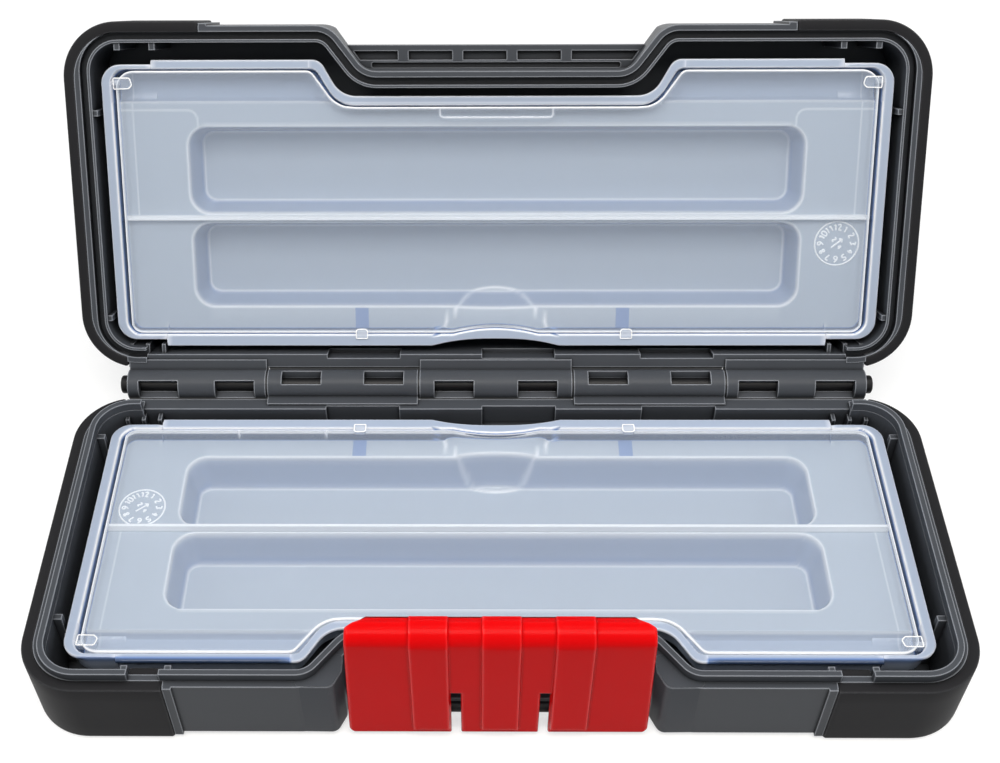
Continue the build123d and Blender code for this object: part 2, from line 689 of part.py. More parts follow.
def strap_section():
    """A thin layer over the hook and the front face, open to the rear."""
    plate = latch_section()
    above, below = -LATCH_TOP + LATCH_PIVOT[1], LATCH_BOTTOM - LATCH_PIVOT[1]
    tip = LATCH_PIVOT[0] - HOOK_TIP
    reach = 2 * above
    with BuildSketch() as section:
        add(plate)
        offset(amount=STRAP_RISE, kind=Kind.ARC, mode=Mode.REPLACE)
        add(plate, mode=Mode.SUBTRACT)
        for corner in (
            (tip, -reach / 2),
            (LATCH_PIVOT[0] - LATCH_FRONT + LATCH_WALL, above - HOOK_WALL - reach),
            (-reach / 2, -below + STRAP_END - reach),
        ):
            with Locations(corner):
                Rectangle(reach, reach, align=(Align.MIN, Align.MIN), mode=Mode.SUBTRACT)
    return section.sketch


with BuildPart() as latch:
    v0, w0 = LATCH_PIVOT
    half = LATCH_HALF_WIDTHS[1]
    along(LATCH, latch_section(), -half, half)
    extrude(latch_outline(), amount=HALF_DEPTH, both=True, mode=Mode.INTERSECT)
    for side in (-1, 1):
        corner_x, corner_v = HOOK_CORNER
        with BuildSketch(LATCH) as cut:
            with BuildLine():
                Polyline(
                    (side * corner_x, v0 - HOOK_TIP + 1),
                    (side * corner_x, v0 - HOOK_TIP),
                    (side * LATCH_HALF_WIDTHS[0], v0 - corner_v),
                    (side * (half + 1), v0 - corner_v),
                    (side * (half + 1), v0 - HOOK_TIP + 1),
                    close=True,
                )
            make_face()
        extrude(cut.sketch, amount=2 * HALF_DEPTH, dir=LATCH.z_dir, mode=Mode.SUBTRACT)
    for centre in STRAPS:
        along(LATCH, strap_section(), centre - STRAP_WIDTH / 2, centre + STRAP_WIDTH / 2)
    for centre in SLOTS:
        with BuildSketch(LATCH) as slot:
            with Locations((centre, -(LATCH_FRONT - v0))):
                Rectangle(SLOT_WIDTH, SLOT_REACH)
        extrude(slot.sketch, amount=w0 - SLOT_TOP, dir=LATCH.z_dir, mode=Mode.SUBTRACT)
        extrude(slot.sketch, amount=SLOT_REACH, dir=-LATCH.z_dir, mode=Mode.SUBTRACT)
    with BuildSketch() as ear:
        Circle(LATCH_PIN_RADIUS + EAR_WALL)
        with BuildLine():
            rear = -(LATCH_FRONT - LATCH_WALL / 2 - v0)
            Polyline(
                (0, LATCH_PIN_RADIUS + EAR_WALL),
                (rear, EAR_ROOT[0]),
                (rear, EAR_ROOT[1]),
                (0, -LATCH_PIN_RADIUS - EAR_WALL),
                close=True,
            )
        make_face()
        Circle(LATCH_PIN_RADIUS + PIN_PLAY, mode=Mode.SUBTRACT)
    for lug in LUGS:
        side = 1 if lug > 0 else -1
        start = lug + side * (LUG_WIDTH / 2 + EAR_PLAY)
        along(LATCH, ear.sketch, *sorted((start, start + side * EAR_WIDTH)))
latch.part.label = "latch"

pieces = [base_shell.part, lid_shell.part, latch_pin.part, latch.part, *bumpers.values()]
pieces += [make_pin(-1, "hinge_pin_left"), make_pin(1, "hinge_pin_right")]
for half, frame in (("base", BASE), ("lid", LID)):
    pieces.append(make_tray(frame, f"{half}_tray"))
    pieces.append(make_cover(frame, f"{half}_cover"))

for piece in pieces:
    export_step(piece, f"parts/{piece.label}.step")
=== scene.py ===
# %% [markdown]
# # A hard case for saw blades, dressed in Blender
#
# The case is a travelling box for a tool user: two hinged plastic shells with soft end
# bumpers, a red front latch, and a translucent cassette in each half. Its measured solids
# come in as a fixed frame, so every size is already right. This lesson dresses them: it
# sets up the view, remakes the softly rounded pieces as surfaces of two parameters, and
# gives each plastic its own look.

# %% Load the measured model
import json
from math import cos, pi, radians, sin

import bpy
import numpy as np
from mathutils import Matrix, Vector


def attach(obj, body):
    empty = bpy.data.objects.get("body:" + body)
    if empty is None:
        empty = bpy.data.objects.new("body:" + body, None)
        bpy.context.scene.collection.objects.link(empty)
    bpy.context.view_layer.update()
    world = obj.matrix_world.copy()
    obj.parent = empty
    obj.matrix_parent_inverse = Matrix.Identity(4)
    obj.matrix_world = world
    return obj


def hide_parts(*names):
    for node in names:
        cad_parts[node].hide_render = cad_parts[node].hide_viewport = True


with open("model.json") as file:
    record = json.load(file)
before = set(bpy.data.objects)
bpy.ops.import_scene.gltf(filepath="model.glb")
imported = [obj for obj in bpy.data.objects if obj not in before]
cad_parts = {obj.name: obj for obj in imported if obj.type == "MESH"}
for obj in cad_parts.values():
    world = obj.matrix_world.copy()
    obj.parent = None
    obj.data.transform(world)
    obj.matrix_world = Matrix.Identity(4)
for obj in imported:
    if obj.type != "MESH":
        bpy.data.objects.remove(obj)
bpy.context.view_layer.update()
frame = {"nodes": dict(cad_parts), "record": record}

print("nodes:", ", ".join(sorted(frame["nodes"])))

# %% [markdown]
# ## The view
#
# A product photographer stands in front of the open case and looks down at about 47
# degrees with a 50 mm lens. A small turn and roll of the camera are real too: nobody
# levels a tripod perfectly. A lens shift frames the case without tilting it further.

# %% Camera
PICTURE = (1000, 763)
FOCAL_PIXELS = 1406.9
AXIS_PIXEL = (462.9, 403.5)
EYE_MM = (-5.8, -249.3, 351.9)
PITCH, YAW, ROLL = radians(47.43), radians(0.877), radians(0.634)


def camera_matrix():
    """Columns are the camera's right, up and backward directions, then its place."""
    turn = Matrix.Rotation(YAW, 3, "Z")
    forward = turn @ Vector((0, cos(PITCH), -sin(PITCH)))
    right = turn @ Vector((1, 0, 0))
    down = turn @ Vector((0, -sin(PITCH), -cos(PITCH)))
    level_right = cos(ROLL) * right + sin(ROLL) * down
    level_down = -sin(ROLL) * right + cos(ROLL) * down
    matrix = Matrix((level_right, -level_down, -forward)).transposed().to_4x4()
    matrix.translation = Vector(EYE_MM) / 1000
    return matrix


lens = bpy.data.cameras.new("photographers_lens")
lens.sensor_width = 36
lens.lens = FOCAL_PIXELS * 36 / PICTURE[0]
lens.shift_x = 0.5 - AXIS_PIXEL[0] / PICTURE[0]
lens.shift_y = (AXIS_PIXEL[1] - PICTURE[1] / 2) / PICTURE[0]
lens.clip_start = 0.01
camera = bpy.data.objects.new("photographers_camera", lens)
bpy.context.scene.collection.objects.link(camera)
camera.matrix_world = camera_matrix()
bpy.context.scene.camera = camera
bpy.context.scene.view_settings.view_transform = "Standard"
print(f"lens {lens.lens:.1f} mm, shift {lens.shift_x:.3f}, {lens.shift_y:.3f}")

# %% [markdown]
# ## Light
#
# The picture was taken in a light tent: soft light from above and from both sides, and a
# white sweep below. Large area lamps give long soft highlights along every rounded edge;
# the world adds the even light that the tent's walls send back.

# %% Lamps
def softbox(name, size, place, power, colour=(1, 1, 1)):
    """A large rectangular lamp in metres and watts, aimed at the middle of the case."""
    light = bpy.data.lights.new(name, "AREA")
    light.shape = "RECTANGLE"
    light.size, light.size_y = size
    light.energy, light.color = power, colour
    lamp = bpy.data.objects.new(name, light)
    bpy.context.scene.collection.objects.link(lamp)
    lamp.location = place
    lamp.rotation_euler = (Vector(place) - Vector((0, 0, 0.05))).to_track_quat("Z", "Y").to_euler()
    return lamp


softbox("key_softbox", (0.8, 0.4), (0, -0.32, 0.9), 8.8, (1, 0.955, 0.9))
softbox("left_softbox", (0.3, 0.5), (-0.75, 0.1, 0.5), 1.6)
softbox("right_softbox", (0.3, 0.5), (0.75, 0.1, 0.5), 1.6)
softbox("edge_strip", (0.9, 0.05), (0, 0.1, 0.9), 1.2)

# %% [markdown]
# ## Half frames
#
# Both halves are drawn in millimetres from the middle of the hinge axis: x along the
# case, v from the axis to the front edge, w from the parting plane down to the outer
# face. One function takes such points to the room, so that a tray drawn once serves the
# flat base and the lid that stands open at 121.6 degrees.

# %% From a half's own millimetres to metres in the room
OPENING = radians(121.6)
HINGE = np.array([0, 58.7, 25.6])
DIRECTIONS = {
    "base": np.array([[1, 0, 0], [0, -1, 0], [0, 0, -1]]),
    "lid": np.array([
        [-1, 0, 0], [0, -cos(OPENING), sin(OPENING)], [0, sin(OPENING), cos(OPENING)]
    ]),
}


def to_room(half, points):
    """Points (x, v, w): room = (hinge + x along + v forward + w deep) / 1000."""
    return (HINGE + points @ DIRECTIONS[half]) / 1000


def stack(x, v, w):
    """Three arrays of one shape joined as points."""
    return np.stack(np.broadcast_arrays(x, v, w), axis=-1).astype(float)


print("front edge of the lid:", to_room("lid", stack(0, 112, 0)).round(4))

# %% [markdown]
# ## From arrays to meshes
#
# Every remade piece is a grid of points computed with whole arrays. A part is a list of
# points and a few face tables; the signed volume of a closed part tells whether its
# faces look outwards, and the table is turned over when they do not.

# %% Mesh tools
def grid_faces(rows, columns, around_rows=False, around_columns=False):
    """Four corner numbers for each cell of a grid, optionally closed on itself."""
    i = np.arange(rows if around_rows else rows - 1)
    j = np.arange(columns if around_columns else columns - 1)
    i, j = np.meshgrid(i, j, indexing="ij")
    here, below, beside = i * columns, (i + 1) % rows * columns, (j + 1) % columns
    return np.stack([here + j, below + j, below + beside, here + beside], -1).reshape(-1, 4)


def signed_volume(points, tables):
    """Sum over all faces of the cone to the origin: positive when faces look outwards."""
    total = 0.0
    for table in tables:
        first = points[table[:, 0]]
        for k in range(1, table.shape[1] - 1):
            second, third = points[table[:, k]], points[table[:, k + 1]]
            total += np.einsum("ij,ij->i", first, np.cross(second, third)).sum() / 6
    return total


def make_piece(name, body, stands_for, material, parts, sharp=35, **values):
    """Join parts (points in metres, face tables) into one object that rides on a body."""
    points = np.concatenate([grid.reshape(-1, 3) for grid, _ in parts])
    tables, first = [], 0
    for grid, faces in parts:
        own = grid.reshape(-1, 3)
        inward = signed_volume(own, faces) < 0
        tables += [(table[:, ::-1] if inward else table) + first for table in faces]
        first += len(own)
    mesh = bpy.data.meshes.new(name)
    mesh.vertices.add(len(points))
    mesh.vertices.foreach_set("co", points.astype(np.float32).ravel())
    mesh.loops.add(sum(table.size for table in tables))
    mesh.loops.foreach_set("vertex_index", np.concatenate([t.ravel() for t in tables]))
    sizes = np.concatenate([np.full(len(table), table.shape[1]) for table in tables])
    mesh.polygons.add(len(sizes))
    mesh.polygons.foreach_set("loop_start", np.concatenate([[0], np.cumsum(sizes)[:-1]]))
    mesh.update(calc_edges=True)
    mesh.validate()
    mesh.polygons.foreach_set("use_smooth", np.ones(len(mesh.polygons), bool))
    mesh.set_sharp_from_angle(angle=radians(sharp))
    for key, numbers in values.items():
        layer = mesh.attributes.new(key, "FLOAT", "POINT")
        layer.data.foreach_set("value", numbers.astype(np.float32).ravel())
    mesh.materials.append(material)
    piece = bpy.data.objects.new(name, mesh)
    bpy.context.scene.collection.objects.link(piece)
    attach(piece, body)
    if stands_for:
        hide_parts(stands_for)
    print(f"{name}: {len(points)} points, {int((sizes - 2).sum())} triangles")
    return piece


def thick_sheet(half, top, bottom, kept=None):
    """A closed sheet from two grids of points; cells that are not kept become holes."""
    rows, columns = top.shape[:2]
    cells = grid_faces(rows, columns)
    kept = np.ones(len(cells), bool) if kept is None else kept.ravel()
    cells = cells[kept]
    sides = np.concatenate([cells[:, [k, (k + 1) % 4]] for k in range(4)])
    keys = sides.min(axis=1) * rows * columns + sides.max(axis=1)
    order, counts = np.unique(keys, return_counts=True)
    border = sides[np.isin(keys, order[counts == 1])]
    under = rows * columns
    walls = np.stack([border[:, 1], border[:, 0], border[:, 0] + under, border[:, 1] + under], -1)
    points = to_room(half, np.concatenate([top.reshape(-1, 3), bottom.reshape(-1, 3)]))
    used = np.unique(np.concatenate([cells.ravel(), cells.ravel() + under]))
    number = np.full(len(points), -1)
    number[used] = np.arange(len(used))
    tables = [number[cells], number[cells[:, ::-1] + under], number[walls]]
    return (points[used], tables), used


def tube(half, rings):
    """A grid of rings as a closed skin, with flat caps on the first and last ring."""
    rows, columns = rings.shape[:2]
    first, last = np.arange(columns)[None], np.arange(columns)[None] + (rows - 1) * columns
    tables = [grid_faces(rows, columns, around_columns=True), first[:, ::-1], last]
    return to_room(half, rings), tables


def turned_rings(places, radii, v=0, w=0, count=40):
    """Rings round an axis along the case: radius as a function of the place along x."""
    angle = np.linspace(0, 2 * pi, count, endpoint=False)
    places, radii = np.array(places)[:, None], np.array(radii)[:, None]
    return stack(places, v + radii * np.cos(angle), w + radii * np.sin(angle))


print("a test cell:", grid_faces(2, 2)[0])

# %% [markdown]
# ## Outlines
#
# In plan every moulded piece of the case is a polygon with rounded corners. The outline
# is worked out once as a dense chain of points. The distance to that chain, negative
# inside, then steers walls, rounded edges and the pale glow of a clear sheet's border.

# %% Rounded outlines and distances to them
def rounded_polygon(corners, radii, steps=14):
    """Each corner becomes the arc that touches both its sides."""
    corners = np.array(corners, float)
    chain = []
    neighbours = np.roll(corners, 1, 0), corners, np.roll(corners, -1, 0)
    for before, corner, after, radius in zip(*neighbours, radii):
        back = (before - corner) / np.linalg.norm(before - corner)
        ahead = (after - corner) / np.linalg.norm(after - corner)
        half = np.arccos(np.clip(back @ ahead, -1, 1)) / 2
        middle = corner + (back + ahead) / np.linalg.norm(back + ahead) * radius / np.sin(half)
        start = corner + back * radius / np.tan(half) - middle
        end = corner + ahead * radius / np.tan(half) - middle
        turn = np.arccos(np.clip(start @ end / radius**2, -1, 1))
        share = np.linspace(0, 1, steps)[:, None]
        arc = (np.sin((1 - share) * turn) * start + np.sin(share * turn) * end) / np.sin(turn)
        chain.append(middle + arc)
    return np.concatenate(chain)


def signed_distance(points, chain):
    """Distance to a closed chain, negative inside: nearest segment, even-odd crossing."""
    flat = points.reshape(-1, 2)
    start, end = chain, np.roll(chain, -1, 0)
    along = end - start
    length = (along**2).sum(-1)
    out = []
    for block in np.array_split(flat, len(flat) // 3000 + 1):
        away = block[:, None] - start
        share = np.clip((away * along).sum(-1) / length, 0, 1)
        near = np.linalg.norm(away - share[..., None] * along, axis=-1).min(1)
        crosses = (start[:, 1] > block[:, None, 1]) != (end[:, 1] > block[:, None, 1])
        rise = np.where(along[:, 1] == 0, 1e-9, along[:, 1])
        x_cross = start[:, 0] + (block[:, None, 1] - start[:, 1]) / rise * along[:, 0]
        inside = (crosses & (block[:, None, 0] < x_cross)).sum(1) % 2 == 1
        out.append(np.where(inside, -near, near))
    return np.concatenate(out).reshape(points.shape[:-1])


def recessed_outline(half_length, front, rear, front_radius, rear_radius, neck, bends):
    """Rounded rectangle whose front steps back round the latch: depth, foot, shoulder."""
    floor, low, top = neck
    corners = [(-half_length, rear), (-half_length, front), (-top, front), (-low, floor)]
    corners += [(-x, v) for x, v in reversed(corners)]
    radii = [rear_radius, front_radius, bends[1], bends[0]]
    return rounded_polygon(corners, radii + radii[::-1])


def box_distance(x, v, middle, size, radius):
    """Distance to a rounded rectangle given by its middle and size, negative inside."""
    out_x = np.abs(x - middle[0]) - size[0] / 2 + radius
    out_v = np.abs(v - middle[1]) - size[1] / 2 + radius
    outside = np.hypot(np.maximum(out_x, 0), np.maximum(out_v, 0))
    return outside + np.minimum(np.maximum(out_x, out_v), 0) - radius


def soft_ramp(d, run, bend=0.4):
    """0 up to d = 0, 1 from d = run on, straight between, with parabolic bends."""
    t = d / run
    start = np.where(t > -bend, np.where(t < bend, (t + bend) ** 2 / (4 * bend), t), 0)
    end = (1 + bend - t) ** 2 / (4 * bend)
    return np.where(t < 1 - bend, start, np.where(t < 1 + bend, 1 - end, 1))


def lines_between(start, *bands):
    """Places of grid lines from start on: each band gives its end and the step inside it."""
    places = []
    for end, step in bands:
        places.append(np.linspace(start, end, max(round((end - start) / step), 1) + 1))
        start = end
    return np.unique(np.concatenate(places).round(4))


def mirrored(places):
    """Places on one side of the middle, and the same on the other side."""
    return np.unique(np.concatenate([-places, places]).round(4))


def edge_over(chain, x, front):
    """The outline's front or rear edge over x: the half of the chain beyond its middle."""
    middle = (chain[:, 1].min() + chain[:, 1].max()) / 2
    part = chain[(chain[:, 1] > middle) == front]
    part = part[np.argsort(part[:, 0], kind="stable")]
    return np.interp(x, part[:, 0], part[:, 1])


def edge_drop(d, radius):
    """How far a surface falls away towards its border: a quarter circle."""
    share = 1 - np.clip(d / radius, 0, 1)
    return radius * (1 - np.sqrt(1 - share**2))


square = rounded_polygon([(0, 0), (0, 9), (9, 9), (9, 0)], [2] * 4)
print("a rounded square has", len(square), "points")

# %% [markdown]
# ## Plastics
#
# Five plastics make the case. The shells are polypropylene from a spark-eroded mould: dark
# grey with a fine even grain that breaks the highlight. The bumpers are a soft rubbery
# elastomer, nearly black and duller. The latch is glossy polypropylene in red. The
# cassettes are natural polypropylene: milky, so light spreads in the wall, and every cut
# edge is paler than the face because light gathers there. The hinge and latch pins are
# plain black nylon.

# %% Material tools
def linear(code):
    """Linear light for an sRGB colour written as #RRGGBB."""
    parts = [int(code[i : i + 2], 16) / 255 for i in (1, 3, 5)]
    return tuple(c / 12.92 if c <= 0.04045 else ((c + 0.055) / 1.055) ** 2.4 for c in parts) + (1,)


def add_node(tree, kind, given):
    """One node with its settings and, by name or number, its inputs' values or sources."""
    node = tree.nodes.new(kind)
    for key, value in given.items():
        source = value.outputs[0] if isinstance(value, bpy.types.Node) else value
        if isinstance(source, bpy.types.NodeSocket):
            tree.links.new(source, node.inputs[key])
        elif isinstance(key, str) and hasattr(node, key):
            setattr(node, key, value)
        else:
            node.inputs[key].default_value = value
    return node


def new_material(name):
    """An empty material: itself, its tree, its surface and the place on the object."""
    material = bpy.data.materials.new(name)
    material.use_nodes = True
    tree = material.node_tree
    tree.nodes.clear()
    place = add_node(tree, "ShaderNodeTexCoord", {}).outputs["Object"]
    return material, tree, add_node(tree, "ShaderNodeOutputMaterial", {}).inputs[0], place


# Patterns per metre: faint clouds about 18 mm wide, slow ripples about 55 mm long.
CLOUDS, RIPPLES = 55, 18


def moulded(name, colours, roughness, grain_mm, grain_depth, edge_mm, specular, highlight_reach_mm=0.4):
    """Opaque moulded plastic: faint cloudiness, a grained skin, softened edges.

    A painted highlight makes sharp convex edges paler and more reflective, where rays inside
    the wall soon meet its other face; painted shade darkens creases within 1 mm and hollows
    within 5 mm.
    """
    dark, light, edge_highlight = [linear(code) for code in colours]
    material, tree, surface, place = new_material(name)
    noise = {"Scale": CLOUDS, "Detail": 3, "Vector": place}
    cloud = add_node(tree, "ShaderNodeTexNoise", noise).outputs["Fac"]
    tone = add_node(tree, "ShaderNodeMix", {"data_type": "RGBA", 0: cloud, 6: dark, 7: light})
    # Painted highlight: sharp convex edges, found where rays inside the wall soon meet its other
    # face, take the third colour.
    inside = add_node(tree, "ShaderNodeAmbientOcclusion", {
        "samples": 6, "inside": True, "only_local": True, "Distance": highlight_reach_mm / 1000,
    })
    highlight_mask = add_node(tree, "ShaderNodeMapRange", {
        "Value": inside.outputs["AO"], "From Min": 0.95, "From Max": 0.68, "To Max": 0.85,
    })
    tone = add_node(tree, "ShaderNodeMix", {
        "data_type": "RGBA", 0: highlight_mask, 6: tone.outputs[2], 7: edge_highlight,
    })
    # Painted shade: the colour darkened where other surfaces lie within 1 mm, in creases.
    crease = add_node(tree, "ShaderNodeAmbientOcclusion", {
        "samples": 6, "Distance": 0.001, "Color": tone.outputs[2],
    })
    tone = add_node(tree, "ShaderNodeMix", {
        "data_type": "RGBA", 0: 0.7, 6: tone.outputs[2], 7: crease.outputs["Color"],
    })
    # Painted shade: the colour darkened in hollows, where other surfaces lie within 5 mm.
    hollow = add_node(tree, "ShaderNodeAmbientOcclusion", {"samples": 6, "Distance": 0.005})
    dimmed = add_node(tree, "ShaderNodeMapRange", {
        "Value": hollow.outputs["AO"], "From Min": 0.2, "From Max": 0.75, "To Min": 0.15,
    })
    tone = add_node(tree, "ShaderNodeVectorMath", {
        "operation": "SCALE", 0: tone.outputs[2], "Scale": dimmed,
    })
    skin = add_node(tree, "ShaderNodeTexNoise", {
        "Scale": 1000 / grain_mm, "Detail": 2, "Vector": place,
    })
    soft = add_node(tree, "ShaderNodeBevel", {"samples": 4, "Radius": edge_mm / 1000})
    bump = add_node(tree, "ShaderNodeBump", {
        "Strength": 0.35, "Distance": grain_depth / 1000, "Height": skin.outputs["Fac"],
        "Normal": soft,
    })
    gloss = add_node(tree, "ShaderNodeMapRange", {
        "Value": cloud, "To Min": roughness - 0.06, "To Max": roughness + 0.06,
    })
    gleam = add_node(tree, "ShaderNodeMapRange", {
        "Value": highlight_mask, "To Min": specular, "To Max": 0.35,
    })
    plastic = add_node(tree, "ShaderNodeBsdfPrincipled", {
        "IOR": 1.49, "Base Color": tone, "Roughness": gloss, "Normal": bump,
        "Specular IOR Level": gleam,
    })
    tree.links.new(plastic.outputs[0], surface)
    return material


def natural(name, body, veil, edge_veil, roughness):
    """Milky clear plastic: a veil of scattered light over a sheet one looks through.

    Where the attribute glow is 1 the colour is painted white, a painted highlight of light
    that gathers in the wall; where shade is 1 it is painted dark, partly the dark shell
    behind it seen through and partly painted shade.
    """
    material, tree, surface, place = new_material(name)
    glow, shade = [
        add_node(tree, "ShaderNodeAttribute", {"attribute_name": key}).outputs["Fac"]
        for key in ("glow", "shade")
    ]
    tone = add_node(tree, "ShaderNodeMix", {
        "data_type": "RGBA", 0: glow, 6: linear(body), 7: linear("#FFFFFF"),
    })
    # Painted shade: a blue tone up to shade 0.5, and near black above it.
    for low, high, colour in ((0, 0.5, "#6F8CC0"), (0.5, 1, "#0A0F1A")):
        part = add_node(
            tree, "ShaderNodeMapRange", {"Value": shade, "From Min": low, "From Max": high}
        )
        tone = add_node(tree, "ShaderNodeMix", {
            "data_type": "RGBA", 0: part, 6: tone.outputs[2], 7: linear(colour),
        })
    tone = tone.outputs[2]
    noise = {"Scale": RIPPLES, "Detail": 2, "Vector": place}
    flow = add_node(tree, "ShaderNodeTexNoise", noise).outputs["Fac"]
    ripple = add_node(
        tree, "ShaderNodeBump", {"Strength": 0.25, "Distance": 0.0006, "Height": flow}
    )
    through = add_node(tree, "ShaderNodeBsdfTransparent", {"Color": (0.97, 0.98, 0.99, 1)})
    milk = add_node(tree, "ShaderNodeBsdfDiffuse", {"Color": tone, "Normal": ripple})
    back = add_node(tree, "ShaderNodeBsdfTranslucent", {"Color": tone})
    scatter = add_node(tree, "ShaderNodeMixShader", {0: 0.1, 1: milk, 2: back})
    cover = add_node(
        tree, "ShaderNodeMapRange", {"Value": glow, "To Min": veil, "To Max": edge_veil}
    )
    sheet = add_node(tree, "ShaderNodeMixShader", {0: cover, 1: through, 2: scatter})
    mirror = add_node(tree, "ShaderNodeBsdfGlossy", {"Roughness": roughness, "Normal": ripple})
    fresnel = add_node(tree, "ShaderNodeFresnel", {"IOR": 1.49, "Normal": ripple})
    inner = add_node(tree, "ShaderNodeNewGeometry", {}).outputs["Backfacing"]
    once = add_node(
        tree, "ShaderNodeMix", {"data_type": "FLOAT", 0: inner, 2: fresnel, 3: 0.0}
    )
    whole = add_node(tree, "ShaderNodeMixShader", {0: once, 1: sheet, 2: mirror})
    tree.links.new(whole.outputs[0], surface)
    return material


# The third colour of each moulded plastic is the painted highlight on its sharp edges.
looks = {
    "case": moulded(
        "moulded_pp_dark_grey", ("#3B3E43", "#42454A", "#8A8E95"),
        roughness=0.4, grain_mm=0.35, grain_depth=0.03, edge_mm=0.3, specular=0.14,
    ),
    "bumper": moulded(
        "moulded_elastomer_black", ("#1A1A1C", "#1F1F21", "#505154"),
        roughness=0.55, grain_mm=0.5, grain_depth=0.03, edge_mm=0.5, specular=0.1,
    ),
    "latch": moulded(
        "moulded_pp_red", ("#CC0609", "#D2080B", "#F2181B"),
        roughness=0.22, grain_mm=1.2, grain_depth=0.01, edge_mm=0.3, specular=0.035, highlight_reach_mm=0.8,
    ),
    "pin": moulded(
        "moulded_nylon_black", ("#0C0C0E", "#101012", "#2A2A2D"),
        roughness=0.4, grain_mm=0.4, grain_depth=0.02, edge_mm=0.3, specular=0.2,
    ),
    "cassette": natural("natural_pp_cassette", "#B2BBC6", veil=1, edge_veil=1, roughness=0.2),
    "cover": natural("clear_pp_cover", "#CFD9E8", veil=0.12, edge_veil=0.95, roughness=0.14),
    "relief": natural("relief_on_natural_pp", "#F8FAFF", veil=1, edge_veil=1, roughness=0.3),
}
slots = {s["node"]: s["material_slot"] for s in frame["record"]["subparts"]}
for name, shape in frame["nodes"].items():
    shape.data.materials.clear()
    shape.data.materials.append(looks[slots[name]])
print("materials:", ", ".join(m.name for m in looks.values()))

# %% [markdown]
# ## Cassettes
#
# Each cassette is moulded in one shot: a flange that rests in the shell, a shallow floor,
# two deep pockets for blades, a low divider between them, and a finger bowl at the rear.
# Because nothing undercuts, the whole tray is a height field: depth as a function of x
# and v. Its underside is the same function with every hollow grown by the wall.

# %% Cassette trays
WALL, TRAY_HALF = 1.3, 120.3
FLANGE_TOP, LAND_DROP, TROUGH_DROP, POCKET_DROP = 3.6, 4.4, 2.6, 12.8
TROUGH_REAR, DIVIDER, DIVIDER_RISE, BOWL_RISE = 87.8, 52.1, 2.3, 2.7
FLANGE = recessed_outline(TRAY_HALF, 100.6, 11.7, 7, 7, (89.8, 47.4, 53.6), (8, 4))
FLANGE_ENDS = recessed_outline(TRAY_HALF, 99.3, 13.8, 6, 6, (89.8, 47.4, 53.6), (8, 4))
BASIN = recessed_outline(117.3, 97.9, 15.4, 4.5, 4.5, (87.0, 48.32, 55.12), (9, 3))
POCKETS, POCKET_SIZE, POCKET_CORNER = (37.1, 66.9), (191.2, 26.6), 6
BOWL_MIDDLE, BOWL_SIZE = 16, (16.2, 11.4)
FLANGE_STEP, FLANGE_SHOULDER, INNER_HALF = 104.8, 56.8, 116.8
SNAPS, SNAP_SHADOW = ((-44.85, -40.65), (38.45, 42.7)), (16.4, 23.1)
tray_x = mirrored(lines_between(
    0, (9, 1.5), (17.2, 0.5), (38.35, 3), (38.5, 1), (40.6, 1), (40.75, 1), (42.6, 1),
    (42.75, 1), (44.8, 1), (44.95, 1), (57, 0.6), (57.3, 1), (88, 3), (91.6, 1), (98, 0.3),
    (104.6, 1.6), (105.0, 0.2), (111.6, 1.6), (112.8, 0.2), (115.4, 0.6), (118.6, 0.2),
    (119.7, 0.55), (TRAY_HALF, 0.15),
))
ends = np.abs(tray_x) > FLANGE_STEP
tray_front, tray_rear = [
    np.where(ends, edge_over(FLANGE_ENDS, tray_x, front), edge_over(FLANGE, tray_x, front))
    for front in (True, False)
]
tray_rear = tray_rear + 2.3 * np.clip(1 - np.abs(tray_x / 20) ** 2.6, 0, 1)
tray_steps = (
    lines_between(0, (0.5, 0.12), (2, 0.4), (4.8, 0.22), (6, 0.4)),
    lines_between(0, (0.5, 0.12), (1.2, 0.3), (4.2, 0.2), (5, 0.4)),
)
tray_middle = lines_between(
    23, (30.2, 0.36), (44.2, 3.5), (51, 0.36), (53.3, 0.14), (60, 0.36), (73.8, 3.5),
    (80.8, 0.36), (84, 1),
)
tray_joining = lines_between(0, (0.44, 0.035), (1, 0.14))[1:-1]


def lines_across(x, edges, steps, middle, highest, joining):
    """Grid points x and v: lines that hug both edges and run straight between."""
    rear, front = edges[0][:, None] + steps[0], edges[1][:, None] - steps[1][::-1]
    low = np.maximum(rear[:, -1:] + 0.3, middle[0])
    high = np.minimum(front[:, :1] - 0.15, highest)
    straight = low + (middle - middle[0]) * (high - low) / (middle[-1] - middle[0])
    joined = high + (front[:, :1] - high) * joining
    v = np.concatenate([rear, straight, joined, front], axis=1)
    return np.broadcast_to(x[:, None], v.shape), v


def pocket_reach(x, v, centre):
    """Distance inwards from the rim of a pocket, negative outside."""
    return -box_distance(x, v, (0, centre), POCKET_SIZE, POCKET_CORNER)


def bowl_radius(x, v, grow=0.0):
    """1 on the rim of the finger bowl, a half ellipse that bulges into the basin."""
    wide, deep = BOWL_SIZE
    return np.hypot(x / (wide - grow), np.maximum(v - BOWL_MIDDLE, 0) / (deep - grow))


